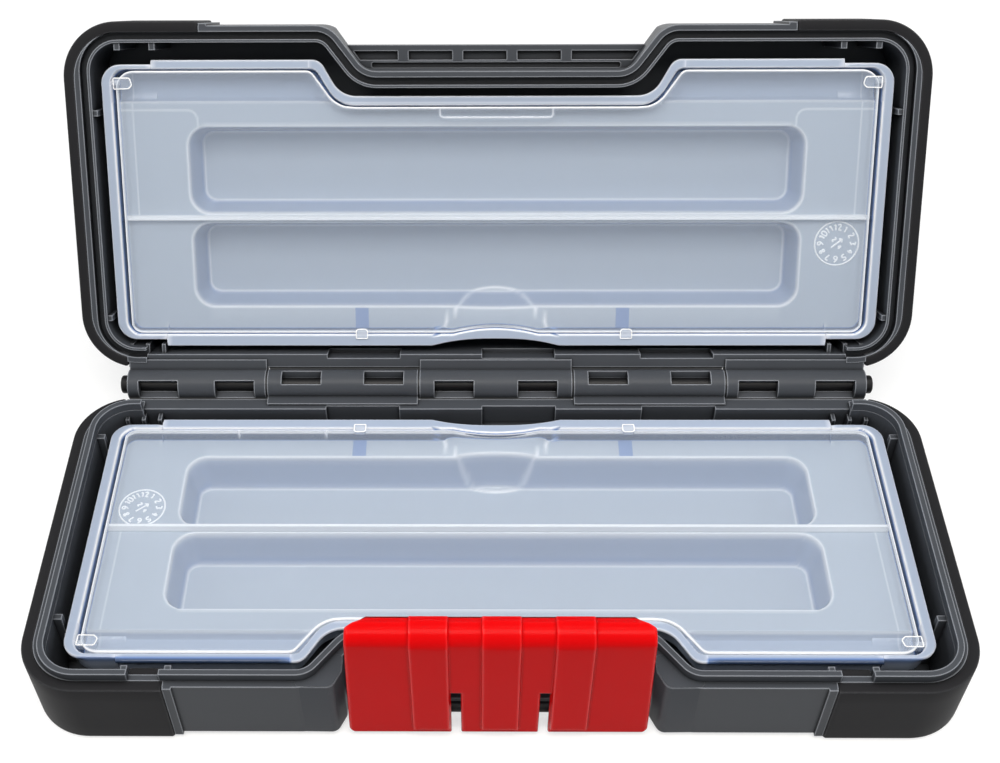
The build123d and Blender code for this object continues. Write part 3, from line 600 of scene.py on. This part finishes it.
def tray_depth(x, v, grow):
    """Flange level, plus a wall wherever the plan distance enters a hollow."""
    rear = 15.4 + 1.9 * np.clip(1 - (x / 13.5) ** 2, 0, 1)
    basin = np.minimum(-signed_distance(np.stack([x, v], -1), BASIN), v - rear) + grow
    depth = FLANGE_TOP + grow + LAND_DROP * soft_ramp(basin, 0.8)
    depth += TROUGH_DROP * soft_ramp(np.minimum(basin, v - TROUGH_REAR + grow), 1.0)
    for centre in POCKETS:
        depth += POCKET_DROP * soft_ramp(grow + pocket_reach(x, v, centre), 2.2, 0.15)
    dome = 1 - bowl_radius(x, v, grow) ** 2
    depth -= BOWL_RISE * np.sqrt(np.maximum(dome, 0)) * soft_ramp(basin, 0.8)
    if grow == 0:
        along = soft_ramp(117 - np.abs(x), 0.4)
        depth -= DIVIDER_RISE * along * (1 - soft_ramp(np.abs(v - DIVIDER) - 0.55, 0.3))
    return depth, basin - grow


def line_glow(d, half_width):
    """A narrow bell over the distance d."""
    return np.exp(-((d / half_width) ** 2))


def tray_tones(half, x, v, border, basin):
    """Painted highlights in the wall; the dark shell seen through it, and painted shade."""
    away = np.abs(x)
    flange, inside = basin < -0.15, away < INNER_HALF
    shoulder = np.abs(away - FLANGE_SHOULDER) + 9 * (v < 60)
    steps = np.minimum(np.abs(away - FLANGE_STEP), shoulder)
    glows = [
        0.8 * line_glow(border, 0.36),
        0.9 * line_glow(basin + 0.1, 0.3),
        0.8 * line_glow(steps, 0.3) * flange,
        0.9 * line_glow((1 - bowl_radius(x, v)) * 12.5, 0.45) * (basin > 1),
        0.9 * (np.abs(v - DIVIDER) < 0.85) * inside,
        0.4 * line_glow(v - TROUGH_REAR, 0.3) * inside,
        0.35 * line_glow(away - 112.2, 0.25) * (v > 51) * (v < 97),
    ]
    # Shade: the dark shell seen through the flange, darker beyond the trough line, and dark in the
    # narrow gap round the basin, partly painted shade and partly the shell seen through.
    shades = [
        np.where(flange, 0.12 if half == "lid" else 0.14, 0.12 * (v > 88)),
        0.9 * soft_ramp(basin - 0.1, 0.2) * (1 - soft_ramp(basin - 1.15, 0.3)),
    ]
    # Painted shade on the walls of each pocket and along the edge of its floor; painted highlights
    # along its rims.
    for centre in POCKETS:
        rim = pocket_reach(x, v, centre)
        glows += [0.8 * line_glow(rim + 0.2, 0.45), 0.55 * line_glow(rim - 2.4, 0.38)]
        shades += [0.2 * soft_ramp(rim, 0.3) * (1 - soft_ramp(rim - 2.2, 0.3))]
        shades += [0.32 * line_glow(rim - 1.9, 0.28)]
    photo_x = x if half == "base" else -x
    beside = (v > SNAP_SHADOW[0]) * (v < SNAP_SHADOW[1])
    shades += [0.4 * (photo_x > low) * (photo_x < high) * beside for low, high in SNAPS]
    # The base's front lip is painted darker towards its edge, and its glow is taken away.
    lip = np.zeros(x.shape)
    if half == "lid":
        step = box_distance(away, v, (106, 72), (27.4, 26.8), 3)
        glows += [0.45 * line_glow(step, 0.3) * (v > 80.4) * inside]
    else:
        lip = soft_ramp(v - 98.7, 1.2) * soft_ramp(away - 56.6, 0.8)
    shades += [0.9 * lip]
    return np.maximum.reduce(glows) * (1 - lip), np.maximum.reduce(shades)


def make_tray(half):
    """One cassette: its upper side, its lower side a wall deeper, and its tones."""
    edges = tray_rear, tray_front
    x, v = lines_across(tray_x, edges, tray_steps, tray_middle, 84, tray_joining)
    rear_slope, front_slope = [np.gradient(edge, tray_x)[:, None] for edge in edges]
    to_front, to_rear = v[:, -1:] - v, v - v[:, :1]
    border = np.minimum(to_front / np.hypot(1, front_slope), to_rear / np.hypot(1, rear_slope))
    border = np.minimum(border, TRAY_HALF - np.abs(x))
    top, basin = tray_depth(x, v, 0)
    bottom, _ = tray_depth(x, v, WALL)
    drop = edge_drop(border, 0.45)
    glow, shade = tray_tones(half, x, v, border, basin)
    part, used = thick_sheet(half, stack(x, v, top + drop), stack(x, v, bottom - drop))
    glow = np.concatenate([glow.ravel(), glow.ravel() * 0.5])[used]
    shade = np.concatenate([shade.ravel(), shade.ravel()])[used]
    return make_piece(
        f"{half}_tray_moulding", f"{half}_cassette", f"{half}_tray", looks["cassette"], [part],
        glow=glow, shade=shade,
    )


for half in ("base", "lid"):
    make_tray(half)

# %% [markdown]
# ## Covers
#
# A clear plate closes each cassette. It turns on two short arms beside its front corners
# and snaps in at the rear with two small tabs. The plate is a thin sheet with rounded
# edges; its rear edge gives way to the finger bowl. A thin moulded frame marks a label
# field: rear left on the base's cover, front middle on the lid's.

# %% Cassette covers
COVER_HALF, COVER_TOP, COVER_BOTTOM = 116.0, 3.9, 5.1
COVER = recessed_outline(COVER_HALF, 97.4, 15.9, 5.5, 3.5, (86.5, 48.6, 56.4), (9, 3))
FINGER = [(111.0, 93.1), (111.6, 95.3), (116.6, 95.3), (116.6, 92.0), (112.1, 92.1)]
LABEL = {"base": ((-66.8, 13.5), (27.4, 8.5)), "lid": ((0, 85.6), (34.5, 4.6))}
SNAP = [(-1.8, 14.2), (-1.8, 17.2), (1.8, 17.2), (1.8, 14.2)]
cover_x = mirrored(lines_between(
    0, (15, 0.9), (19, 0.35), (46, 3), (58, 0.7), (79.8, 3), (81.4, 0.25), (109, 4),
    (114.6, 0.5), (COVER_HALF, 0.12),
))
cover_front = edge_over(COVER, cover_x, True)
finger_gap = 1.7 * np.clip(1 - (cover_x / 13.5) ** 2, 0, 1)
cover_rear = edge_over(COVER, cover_x, False) + finger_gap
cover_steps = lines_between(0, (0.42, 0.07), (1.2, 0.4))
cover_middle = lines_between(19.5, (80, 3.4), (82.6, 1), (84.4, 0.2), (85, 0.6))


def drawn_in(chain, inward, level):
    """A closed outline once per level, drawn in by an amount of its own each time."""
    ahead = np.roll(chain, -1, 0) - np.roll(chain, 1, 0)
    ahead /= np.linalg.norm(ahead, axis=1)[:, None]
    (x, v), (next_x, next_v) = chain.T, np.roll(chain, -1, 0).T
    outward = np.stack([ahead[:, 1], -ahead[:, 0]], -1) * np.sign(np.sum(x * next_v - v * next_x))
    plan = chain[None] - inward[:, None, None] * outward[None]
    return stack(plan[..., 0], plan[..., 1], level[:, None])


def slab(chain, top, bottom, radius):
    """Rings that turn a closed outline into a plate with rounded rims; ready for tube."""
    turn = np.linspace(0, pi / 2, 5)
    low, high = radius * (1 - np.cos(turn)), radius * (1 - np.sin(turn))
    return drawn_in(chain, np.concatenate([high, low]), np.concatenate([top + low, bottom - high]))


def stroke(path, radius, height):
    """A low rounded bead along a polyline in plan: half round, closed below."""
    path = np.asarray(path, float)
    ahead = np.gradient(path, axis=0)
    ahead /= np.maximum(np.linalg.norm(ahead, axis=1)[:, None], 1e-9)
    side = np.stack([-ahead[:, 1], ahead[:, 0]], -1)
    turn = np.linspace(0, pi, 7)
    plan = path[:, None] + radius * np.cos(turn)[None, :, None] * side[:, None]
    return stack(plan[..., 0], plan[..., 1], height - radius * 0.8 * np.sin(turn)[None])


def cover_trim(half):
    """The arms with their stubs and the rear tabs: rings, and how brightly each one glows."""
    aside = -0.6 if half == "base" else 0.6
    trim = []
    for side in (-1, 1):
        finger = rounded_polygon(FINGER, [1.0, 0.8, 0.3, 0.3, 0.8]) * (side, 1)
        snap = rounded_polygon(SNAP, [0.3, 0.9, 0.9, 0.3]) + (side * 42.0 + aside, 0)
        for outline, top, bottom, value in ((finger, 3.75, 6.4, 0.1), (snap, 3.3, 5.0, 0.3)):
            closed = np.concatenate([outline, outline[:2]])
            trim.append((slab(outline, top, bottom, 0.3), value))
            trim.append((stroke(closed, 0.17, top + 0.03), 1.0))
        reach = side * np.array([115, 117.9, 118.1, 118.1])
        trim.append((turned_rings(reach, [0.95, 0.95, 0.75, 0.01], 94.0, 5.0, 20), 0.4))
    return trim


def make_cover(half):
    """One clear cover: the thin plate with rounded rims, then its arms, stubs and tabs."""
    edges, steps = (cover_rear, cover_front), (cover_steps, cover_steps)
    joining = np.linspace(0.1, 0.9, 7)
    x, v = lines_across(cover_x, edges, steps, cover_middle, 85.2, joining)
    slope = np.gradient(cover_front, cover_x)[:, None]
    border = np.minimum((v[:, -1:] - v) / np.hypot(1, slope), v - v[:, :1])
    border = np.minimum(border, COVER_HALF - np.abs(x))
    drop = edge_drop(border, 0.42)
    frame_line = np.abs(box_distance(x, v, *LABEL[half], 1.2))
    top = COVER_TOP + drop - 0.12 * line_glow(frame_line, 0.22)
    part, used = thick_sheet(half, stack(x, v, top), stack(x, v, COVER_BOTTOM - drop))
    glow = np.maximum(line_glow(border, 0.55), 0.5 * line_glow(frame_line, 0.3)).ravel()
    parts, values = [part], [np.concatenate([glow, glow])[used]]
    for rings, value in cover_trim(half):
        parts.append(tube(half, rings))
        values.append(np.full(rings[..., 0].size, value))
    return make_piece(
        f"{half}_cover_plate", f"{half}_cassette_cover", f"{half}_cover", looks["cover"], parts,
        glow=np.concatenate(values),
    )


for half in ("base", "lid"):
    make_cover(half)

# %% [markdown]
# ## Date dial
#
# Moulders leave a small round insert in the tool that prints the month as a ring of
# numbers with a pointer. On the cassette it reads as fine raised lines, a few tenths of
# a millimetre high. Each numeral is a bead along a short polyline with its corners cut.

# %% Moulded dials
SEGMENTS = {
    "0": [(0, 0), (1, 0), (1, 1.7), (0, 1.7), (0, 0)],
    "1": [(0.2, 1.3), (0.6, 1.7), (0.6, 0)],
    "2": [(0, 1.5), (0.5, 1.8), (1, 1.4), (0, 0), (1, 0)],
    "3": [(0, 1.7), (1, 1.5), (0.4, 0.9), (1, 0.4), (0, 0)],
    "4": [(0.8, 0), (0.8, 1.7), (0, 0.6), (1.1, 0.6)],
    "5": [(1, 1.7), (0.1, 1.7), (0, 1), (1, 0.8), (0.9, 0.1), (0, 0)],
    "6": [(0.9, 1.7), (0, 0.8), (0.1, 0), (1, 0), (1, 0.8), (0.1, 0.8)],
    "7": [(0, 1.7), (1, 1.7), (0.4, 0)],
    "8": [(0.5, 0.9), (0, 1.3), (0.5, 1.7), (1, 1.3), (0, 0.4), (0.5, 0), (1, 0.4), (0.5, 0.9)],
    "9": [(0.1, 0), (1, 0.9), (0.9, 1.7), (0, 1.7), (0, 0.9), (0.9, 0.9)],
}


def softened(path):
    """Cut every corner of a polyline, twice, at a quarter and three quarters of its sides."""
    path = np.asarray(path, float)
    for _ in range(2):
        first = 0.75 * path[:-1] + 0.25 * path[1:]
        second = 0.25 * path[:-1] + 0.75 * path[1:]
        inner = np.stack([first, second], 1).reshape(-1, 2)
        path = np.concatenate([path[:1], inner, path[-1:]])
    return path


DIAL_PLACE, DIAL_LEVEL, DIAL_RADIUS, BEAD_RADIUS = (-107.3, 43.8), 8.02, 6.9, 0.26


def turned(path, angle):
    """A path turned clockwise about the origin, as seen from above."""
    return np.asarray(path) @ np.array([[cos(angle), -sin(angle)], [sin(angle), cos(angle)]])


def dial_strokes():
    """The ring, its twelve numbers and a pointer, around the origin, y upwards."""
    angle = np.linspace(0, 2 * pi, 49)
    strokes = [DIAL_RADIUS * np.stack([np.cos(angle), np.sin(angle)], -1)]
    for number in range(1, 13):
        text = str(number)
        for k, digit in enumerate(text):
            place = (k - (len(text) - 1) / 2) * 1.35 - 0.52
            shape = softened(SEGMENTS[digit]) * 1.05 + (place, 4.2)
            strokes.append(turned(shape, number * pi / 6))
    pointer = [[(0, -2.2), (0, 2.2)], [(-0.7, 1.4), (0, 2.2), (0.7, 1.4)]]
    for digit, place in (("2", -1.9), ("4", 1.0)):
        pointer.append(softened(SEGMENTS[digit]) * 0.8 + (place, -0.6))
    return strokes + [turned(path, 0.9) for path in pointer]


# Glow 1 all over and the near-white relief colour paint the raised lines white: a painted
# highlight of light caught by the fine ridges.
for half in ("base", "lid"):
    upright = -1 if half == "base" else 1
    parts, count = [], 0
    for shape in dial_strokes():
        rings = stroke(DIAL_PLACE + shape * (-upright, upright), BEAD_RADIUS, DIAL_LEVEL)
        count += rings[..., 0].size
        parts.append(tube(half, rings))
    dial = make_piece(
        f"{half}_month_dial", f"{half}_cassette", None, looks["relief"], parts,
        glow=np.ones(count),
    )

# %% [markdown]
# ## Latch
#
# The latch is one bent plate: it hangs on a pin in front of the base, and its hook
# reaches back over a ledge of the lid. Three raised straps stiffen it and two slots
# between them let it flex. The outer face is a profile carried along x; the straps are
# added along its normal and the wall is measured inwards from the smooth face.

# %% Latch
PIVOT_V, PIVOT_W, LEAN = 105.3, 19.0, radians(2.0)
LATCH_HEIGHT, LATCH_LOW, LATCH_FACE, LATCH_HALF = 44.6, -4.8, 5.5, 41.4
ROUNDING, HOOK_TIP, LOW_CORNER, HOOK_CUT = 4.2, -2.0, 2.5, 3.9
STRAPS, STRAP_HALF, STRAP_RISE = (-18.4, 0.4, 19.3), 5.1, 0.8
SLOTS, SLOT_HALF, SLOT_END = (-11.6, 12.4), 1.3, 21.6
EAR_RADIUS, BORE_RADIUS, EAR_PLACES = 2.9, 1.56, (-34.0, 0.0, 34.0)


def latch_profile():
    """Outer face from the lower edge up and back over the hook: points and normals."""
    up = lines_between(
        0, (1.0, 0.13), (2.6, 0.5), (3.5, 0.1), (4.5, 0.5), (20.6, 2), (22.6, 0.25), (45.2, 2.2)
    )
    turn = np.linspace(0, pi / 2, 13)[1:]
    back = lines_between(0, (0.7, 0.3), (1.1, 0.1), (2.2, 0.35), (3.3, 0.13))[1:]
    reach = LATCH_FACE - ROUNDING - HOOK_TIP
    back = np.append(back[back < reach], reach)
    centre = np.array([LATCH_FACE, LATCH_HEIGHT]) - ROUNDING
    height = LATCH_LOW + up
    height = np.append(height[height < centre[1]], centre[1])
    face = np.stack([np.full(len(height), LATCH_FACE), height], -1)
    bend = centre + ROUNDING * np.stack([np.cos(turn), np.sin(turn)], -1)
    fall = 1.2 * np.clip((back - reach + 2.4) / 2.4, 0, 1)
    top = np.stack([centre[0] - back, LATCH_HEIGHT - fall], -1)
    points = np.concatenate([face, bend, top])
    angle = np.concatenate([np.zeros(len(face)), turn, np.full(len(top), pi / 2)])
    normals = np.stack([np.cos(angle), np.sin(angle)], -1)
    lengths = np.concatenate([[0], np.cumsum(np.linalg.norm(np.diff(points, axis=0), axis=1))])
    return points, normals, lengths


def latch_point(x, forward, up):
    """From the plate's own measures to the base's: leaned about the pivot."""
    v = PIVOT_V + forward * cos(LEAN) + up * sin(LEAN)
    w = PIVOT_W + forward * sin(LEAN) - up * cos(LEAN)
    return stack(x, v, w)


def latch_width():
    """Places of grid lines along the case: dense at the straps, the slots and both ends."""
    places = [lines_between(-LATCH_HALF, (-40.3, 0.11), (40.3, 1.6), (LATCH_HALF, 0.11))]
    for side in (-1, 1):
        for edge in np.array(STRAPS) + side * STRAP_HALF:
            places.append(lines_between(edge - 0.6, (edge + 0.6, 0.08)))
        places.append(np.array(SLOTS) + side * SLOT_HALF)
    places += [lines_between(centre - 1.9, (centre + 1.9, 0.15)) for centre in SLOTS]
    wide = np.unique(np.concatenate(places).round(3))
    return wide[np.concatenate([[True], np.diff(wide) > 0.04])]


def latch_sheet():
    """The bent plate: rounded corners and edges, raised straps, and two slots cut out."""
    profile, normals, lengths = latch_profile()
    total, wide = lengths[-1], latch_width()
    low_corner = np.clip(LOW_CORNER - lengths, 0, LOW_CORNER)
    half_width = LATCH_HALF - 1.8 * lengths / total
    half_width -= LOW_CORNER - np.sqrt(LOW_CORNER**2 - low_corner**2)
    half_width -= 5.2 * np.clip((lengths - total + HOOK_CUT) / HOOK_CUT, 0, 1)
    lengths, half_width = lengths[:, None], half_width[:, None]
    scale = np.clip((np.abs(wide) - 30) / (LATCH_HALF - 30), 0, 1)
    spread = np.sign(wide) * (np.abs(wide) + scale * (half_width - LATCH_HALF))
    edge = np.minimum(half_width - np.abs(spread), np.minimum(lengths, total - lengths))
    above = lengths - SLOT_END
    for centre in SLOTS:
        beside = np.abs(spread - centre) - SLOT_HALF
        round_end = np.hypot(np.maximum(beside, 0), above)
        edge = np.minimum(edge, np.where(above > 0, round_end, beside))
    raised = np.zeros(spread.shape)
    for centre in STRAPS:
        raised += STRAP_RISE * soft_ramp(STRAP_HALF + 0.2 - np.abs(spread - centre), 0.4, 0.3)
    raised *= soft_ramp(lengths - 2.9, 0.3, 0.2)
    wall = 2.6 - 0.7 * soft_ramp(lengths - 45, 4)
    wall = wall - (LATCH_HEIGHT - profile[:, 1:]) * (normals[:, 1:] > 0.99)
    drop = edge_drop(np.maximum(edge, 0), 0.8)
    outer = profile[:, None] + normals[:, None] * (raised - drop)[..., None]
    inner = profile[:, None] - normals[:, None] * (wall - drop)[..., None]
    mid_x, mid_s = (wide[1:] + wide[:-1]) / 2, (lengths[1:] + lengths[:-1]) / 2
    kept = np.ones((len(mid_s), len(mid_x)), bool)
    for centre in SLOTS:
        kept &= (np.abs(mid_x - centre) >= SLOT_HALF) | (mid_s >= SLOT_END)
    faces = [latch_point(spread, face[..., 0], face[..., 1]) for face in (outer, inner)]
    sheet, _ = thick_sheet("base", *faces, kept)
    return sheet


def latch_ears():
    """Three eyes round the latch pin, each with a foot that grows out of the plate."""
    angle = np.linspace(0, 2 * pi, 48, endpoint=False)
    circle = np.stack([np.cos(angle), np.sin(angle)], -1)
    foot = EAR_RADIUS * circle
    stretch = np.where(foot[:, 1] > 0, 2.6, 1.45)
    foot = np.where(foot[:, :1] > 0, np.stack([0 * stretch + 4.2, foot[:, 1] * stretch], -1), foot)
    skin = np.array([0.93, 1.0, 1.0, 0.93])[:, None, None] * foot
    bore = np.tile(BORE_RADIUS * circle, (4, 1, 1))
    ears = []
    for place in EAR_PLACES:
        side = 1 if place > 0 else -1
        across = (np.array([0, 0.25, 1.95, 2.2]) * side + place + side * 1.6)[:, None]
        rings = latch_point(across, skin[..., 0], skin[..., 1])
        holes = latch_point(across[::-1], bore[..., 0], bore[..., 1])
        closed = grid_faces(8, 48, around_rows=True, around_columns=True)
        ears.append((to_room("base", np.concatenate([rings, holes])), [closed]))
    return ears


parts = [latch_sheet(), *latch_ears()]
make_piece("latch_moulding", "latch", "latch", looks["latch"], parts, sharp=21)

# %% [markdown]
# ## End bumpers
#
# Soft elastomer bands wrap both ends of each half; on the real case they are moulded over
# the shell. A band is one section, with the outer foot edge well rounded, carried along
# the outline from the front face round two corners to the hinge side.

# %% Bumpers
def bumper_path(front_end):
    """Outline of the right-hand end from front to rear, with outward directions."""
    half_length, front, rear, corner, rear_end = 130.7, 112.0, 5.4, 17.0, 117.2
    mid_x, mid_front, mid_rear = half_length - corner, front - corner, rear + corner
    front_part = stack(front_end + np.array([0, 0.25, 0.7, 1.3, 12]), front, 0)[:, :2]
    turn = np.linspace(0, pi / 2, 22)
    front_arc = (mid_x, mid_front) + corner * np.stack([np.sin(turn), np.cos(turn)], -1)
    side_part = stack(half_length, np.linspace(mid_front, mid_rear, 12)[1:-1], 0)[:, :2]
    turn = np.linspace(0, np.arccos((rear_end - mid_x) / corner), 18)
    tail = turn[-1] - np.array([1.3, 0.7, 0.25, 0]) / corner
    turn = np.concatenate([turn[turn < tail[0] - 0.02], tail])
    rear_arc = (mid_x, mid_rear) + corner * np.stack([np.cos(turn), -np.sin(turn)], -1)
    path = np.concatenate([front_part, front_arc, side_part, rear_arc])
    outward = path - np.clip(path, [0, mid_rear], [mid_x, mid_front])
    outward /= np.linalg.norm(outward, axis=1)[:, None]
    return path, outward


def bumper_section():
    """Distance inwards and depth round the band's section, foot edge rounded 2.2 mm."""
    foot, soft = np.linspace(0, pi / 2, 9), np.linspace(0, pi / 2, 4)
    rows = [
        np.stack([0.4 - 0.4 * np.cos(soft[::-1]), 0.7 - 0.4 * np.sin(soft[::-1])], -1),
        np.array([[0, 6.0], [0, 12.0], [0, 18.0]]),
        np.stack([2.2 - 2.2 * np.cos(foot), 23.4 + 2.2 * np.sin(foot)], -1),
        np.stack([2.9 + 0.3 * np.sin(soft), 25.3 + 0.3 * np.cos(soft)], -1),
        np.array([[3.2, 14.0]]),
        np.stack([2.9 + 0.3 * np.cos(soft), 0.6 - 0.3 * np.sin(soft)], -1),
    ]
    return np.concatenate(rows)


def make_bumper(half, side, front_end, node):
    """One band: its section shrinks over the last points, so that its ends are rounded."""
    path, outward = bumper_path(front_end)
    section, middle = bumper_section(), np.array([1.6, 13.0])
    steps = np.minimum(np.arange(len(path)), np.arange(len(path))[::-1])
    shrink = np.choose(np.minimum(steps, 2), [0.5, 0.15, 0.0])[:, None, None]
    away = section - middle
    inner = section - np.sign(away) * np.minimum(shrink, np.abs(away))
    plan = path[:, None] - outward[:, None] * inner[..., :1]
    rings = stack(plan[..., 0] * side, plan[..., 1], inner[..., 1])
    return make_piece(f"{node}_band", half, node, looks["bumper"], [tube(half, rings)])


for half, front_end in (("base", 90.0), ("lid", 89.3)):
    for name, side in (("left", -1), ("right", 1)):
        local = side if half == "base" else -side
        band = make_bumper(half, local, front_end, f"{half}_bumper_{name}")

# %% [markdown]
# ## Cheeks of the latch recess
#
# Where the front wall turns into the latch recess the corner is filled up to the latch's
# flank. Each filling is an outline in plan with its corners rounded, drawn in a little at
# the rim and by the shell's own chamfer at the foot.

# %% Cheeks
cheek = [
    (42.2, 100.0), (42.2, 105.6), (44.6, 110.75), (55.0, 110.62), (55.0, 107.2), (51.0, 107.2),
    (45.5, 100.0),
]
inward = np.array([0.3, 0.09, 0, 0, 1.5])
level = np.array([0.28, 0.37, 0.58, 23.4, 24.95])
parts = []
for side in (-1, 1):
    outline = rounded_polygon(cheek, [1.5, 1.5, 2.6, 1.6, 1.6, 0.5, 1.5]) * (side, 1)
    parts.append(tube("base", drawn_in(outline, inward, level)))
make_piece("base_recess_cheeks", "base", None, looks["case"], parts)

# %% [markdown]
# ## Bumper tabs and hinge rails
#
# Where the tongue of the base is interrupted, the soft bumper reaches over the rim as a
# small black tab that the lid's rim lands on. Behind the base's two knuckles the lid
# carries a rail that closes the view through the hinge: a dark piece that stands partly
# for the hinge's own walls and partly for the shade in the gap behind them, a painted
# shade. Both are rounded outlines swept along one direction: downwards for the tabs,
# along the case for the rails. Thin collars round the pins fill the gaps between the
# knuckles: dark rings set where those narrow gaps hold only shade.

# %% Tabs and rails
tab = [(90.6, 104.3), (90.6, 109.6), (99.6, 109.6), (99.6, 104.3)]
for name, side in (("left", -1), ("right", 1)):
    outline = rounded_polygon(tab, [0.3, 0.3, 1.2, 0.5]) * (side, 1)
    part = tube("base", slab(outline, 0.8, 2.4, 0.3))
    piece = make_piece(f"base_bumper_{name}_tab", "base", None, looks["bumper"], [part])

rail = [(6.3, 4.4), (4.4, 4.4), (3.1, 6.4), (3.1, 8.4), (6.3, 8.4)]
rail = rounded_polygon(rail, [0.3] * 5, steps=5)
middle = rail.mean(axis=0)
inset = np.array([0.94, 1, 1, 0.94])[:, None, None]
v, w = (middle + inset * (rail - middle)).transpose(2, 0, 1)
closed = grid_faces(4, 40, around_rows=True, around_columns=True)
rails, collars = [], []
for side in (-1, 1):
    along = side * np.array([24.2, 24.4, 72.6, 72.8])[:, None]
    rails.append(tube("lid", stack(along, v, w)))
    for start, end in ((24.0, 24.62), (72.38, 73.0)):
        reach = side * np.array([start, end, end, start])
        rings = turned_rings(reach, [4.7, 4.7, 2.42, 2.42])
        collars.append((to_room("lid", rings), [closed]))
make_piece("lid_hinge_rails", "lid", None, looks["case"], rails)
make_piece("lid_hinge_collars", "lid", None, looks["pin"], collars)

# %% [markdown]
# ## Hinge and latch pins
#
# The two hinge pins are pushed in from the ends until their round heads meet the outer
# knuckles; a short one carries the latch. Each is a profile turned about its own axis.

# %% Pins
HINGE_RADII = [1.9, 2.3, 2.3, 2.3, 2.9, 2.9, 2.75, 2.4, 1.8]
for name, side in (("left", -1), ("right", 1)):
    along = side * np.array([1.0, 1.5, 116.9, 117.0, 117.0, 118.7, 119.05, 119.25, 119.3])
    part, node = tube("base", turned_rings(along, HINGE_RADII)), f"hinge_pin_{name}"
    make_piece(f"{node}_turned", "base", node, looks["pin"], [part])
along, radii = [-37.8, -37.6, -37.2, 37.2, 37.6, 37.8], [1.1, 1.4, 1.5, 1.5, 1.4, 1.1]
part = tube("base", turned_rings(along, radii, PIVOT_V, PIVOT_W))
make_piece("latch_pin_turned", "base", "latch_pin", looks["pin"], [part])

# %% [markdown]
# ## White sweep
#
# The case stands on white paper that fades into a white backdrop. The floor is a pale
# matt plane that still takes the soft shadow, and the camera sees plain white around it.

# %% Floor and surroundings
def seen_rays(tree):
    """1 for rays from the camera and for those it sees mirrored or through a sheet."""
    rays = add_node(tree, "ShaderNodeLightPath", {}).outputs
    seen = rays["Is Camera Ray"]
    for kind in ("Is Glossy Ray", "Is Transmission Ray"):
        given = {"operation": "MAXIMUM", 0: seen, 1: rays[kind]}
        seen = add_node(tree, "ShaderNodeMath", given).outputs[0]
    return seen


FIBRES = 300  # per metre: flecks of the paper about 3 mm wide
paper, tree, surface, place = new_material("white_paper")
noise = {"Scale": FIBRES, "Detail": 2, "Vector": place}
fibre = add_node(tree, "ShaderNodeTexNoise", noise).outputs["Fac"]
tone = add_node(tree, "ShaderNodeMix", {
    "data_type": "RGBA", 0: fibre, 6: linear("#A8A8A8"), 7: linear("#AEAEAE"),
})
matt = add_node(tree, "ShaderNodeBsdfDiffuse", {"Color": tone.outputs[2]})
distance = add_node(tree, "ShaderNodeVectorMath", {"operation": "LENGTH", 0: place})
fade = add_node(tree, "ShaderNodeMapRange", {
    "Value": distance.outputs["Value"], "From Min": 0.35, "From Max": 1.2, "To Min": 0.62,
})
lift = add_node(tree, "ShaderNodeMath", {"operation": "MULTIPLY", 0: seen_rays(tree), 1: fade})
glare = add_node(tree, "ShaderNodeEmission", {"Color": (1, 1, 1, 1), "Strength": lift})
sweep = add_node(tree, "ShaderNodeAddShader", {0: matt, 1: glare})
tree.links.new(sweep.outputs[0], surface)
bpy.ops.mesh.primitive_plane_add(size=8)
floor = bpy.context.object
floor.name = "floor"
floor.data.materials.append(paper)

world = bpy.data.worlds.new("light_tent")
bpy.context.scene.world = world
world.use_nodes = True
tree = world.node_tree
tree.nodes.clear()
tent = add_node(tree, "ShaderNodeBackground", {"Color": (0.86, 0.94, 1, 1), "Strength": 0.34})
seen = add_node(tree, "ShaderNodeBackground", {"Color": (1, 1, 1, 1), "Strength": 1.0})
choice = add_node(tree, "ShaderNodeMixShader", {0: seen_rays(tree), 1: tent, 2: seen})
add_node(tree, "ShaderNodeOutputWorld", {"Surface": choice})
print("floor and tent ready")
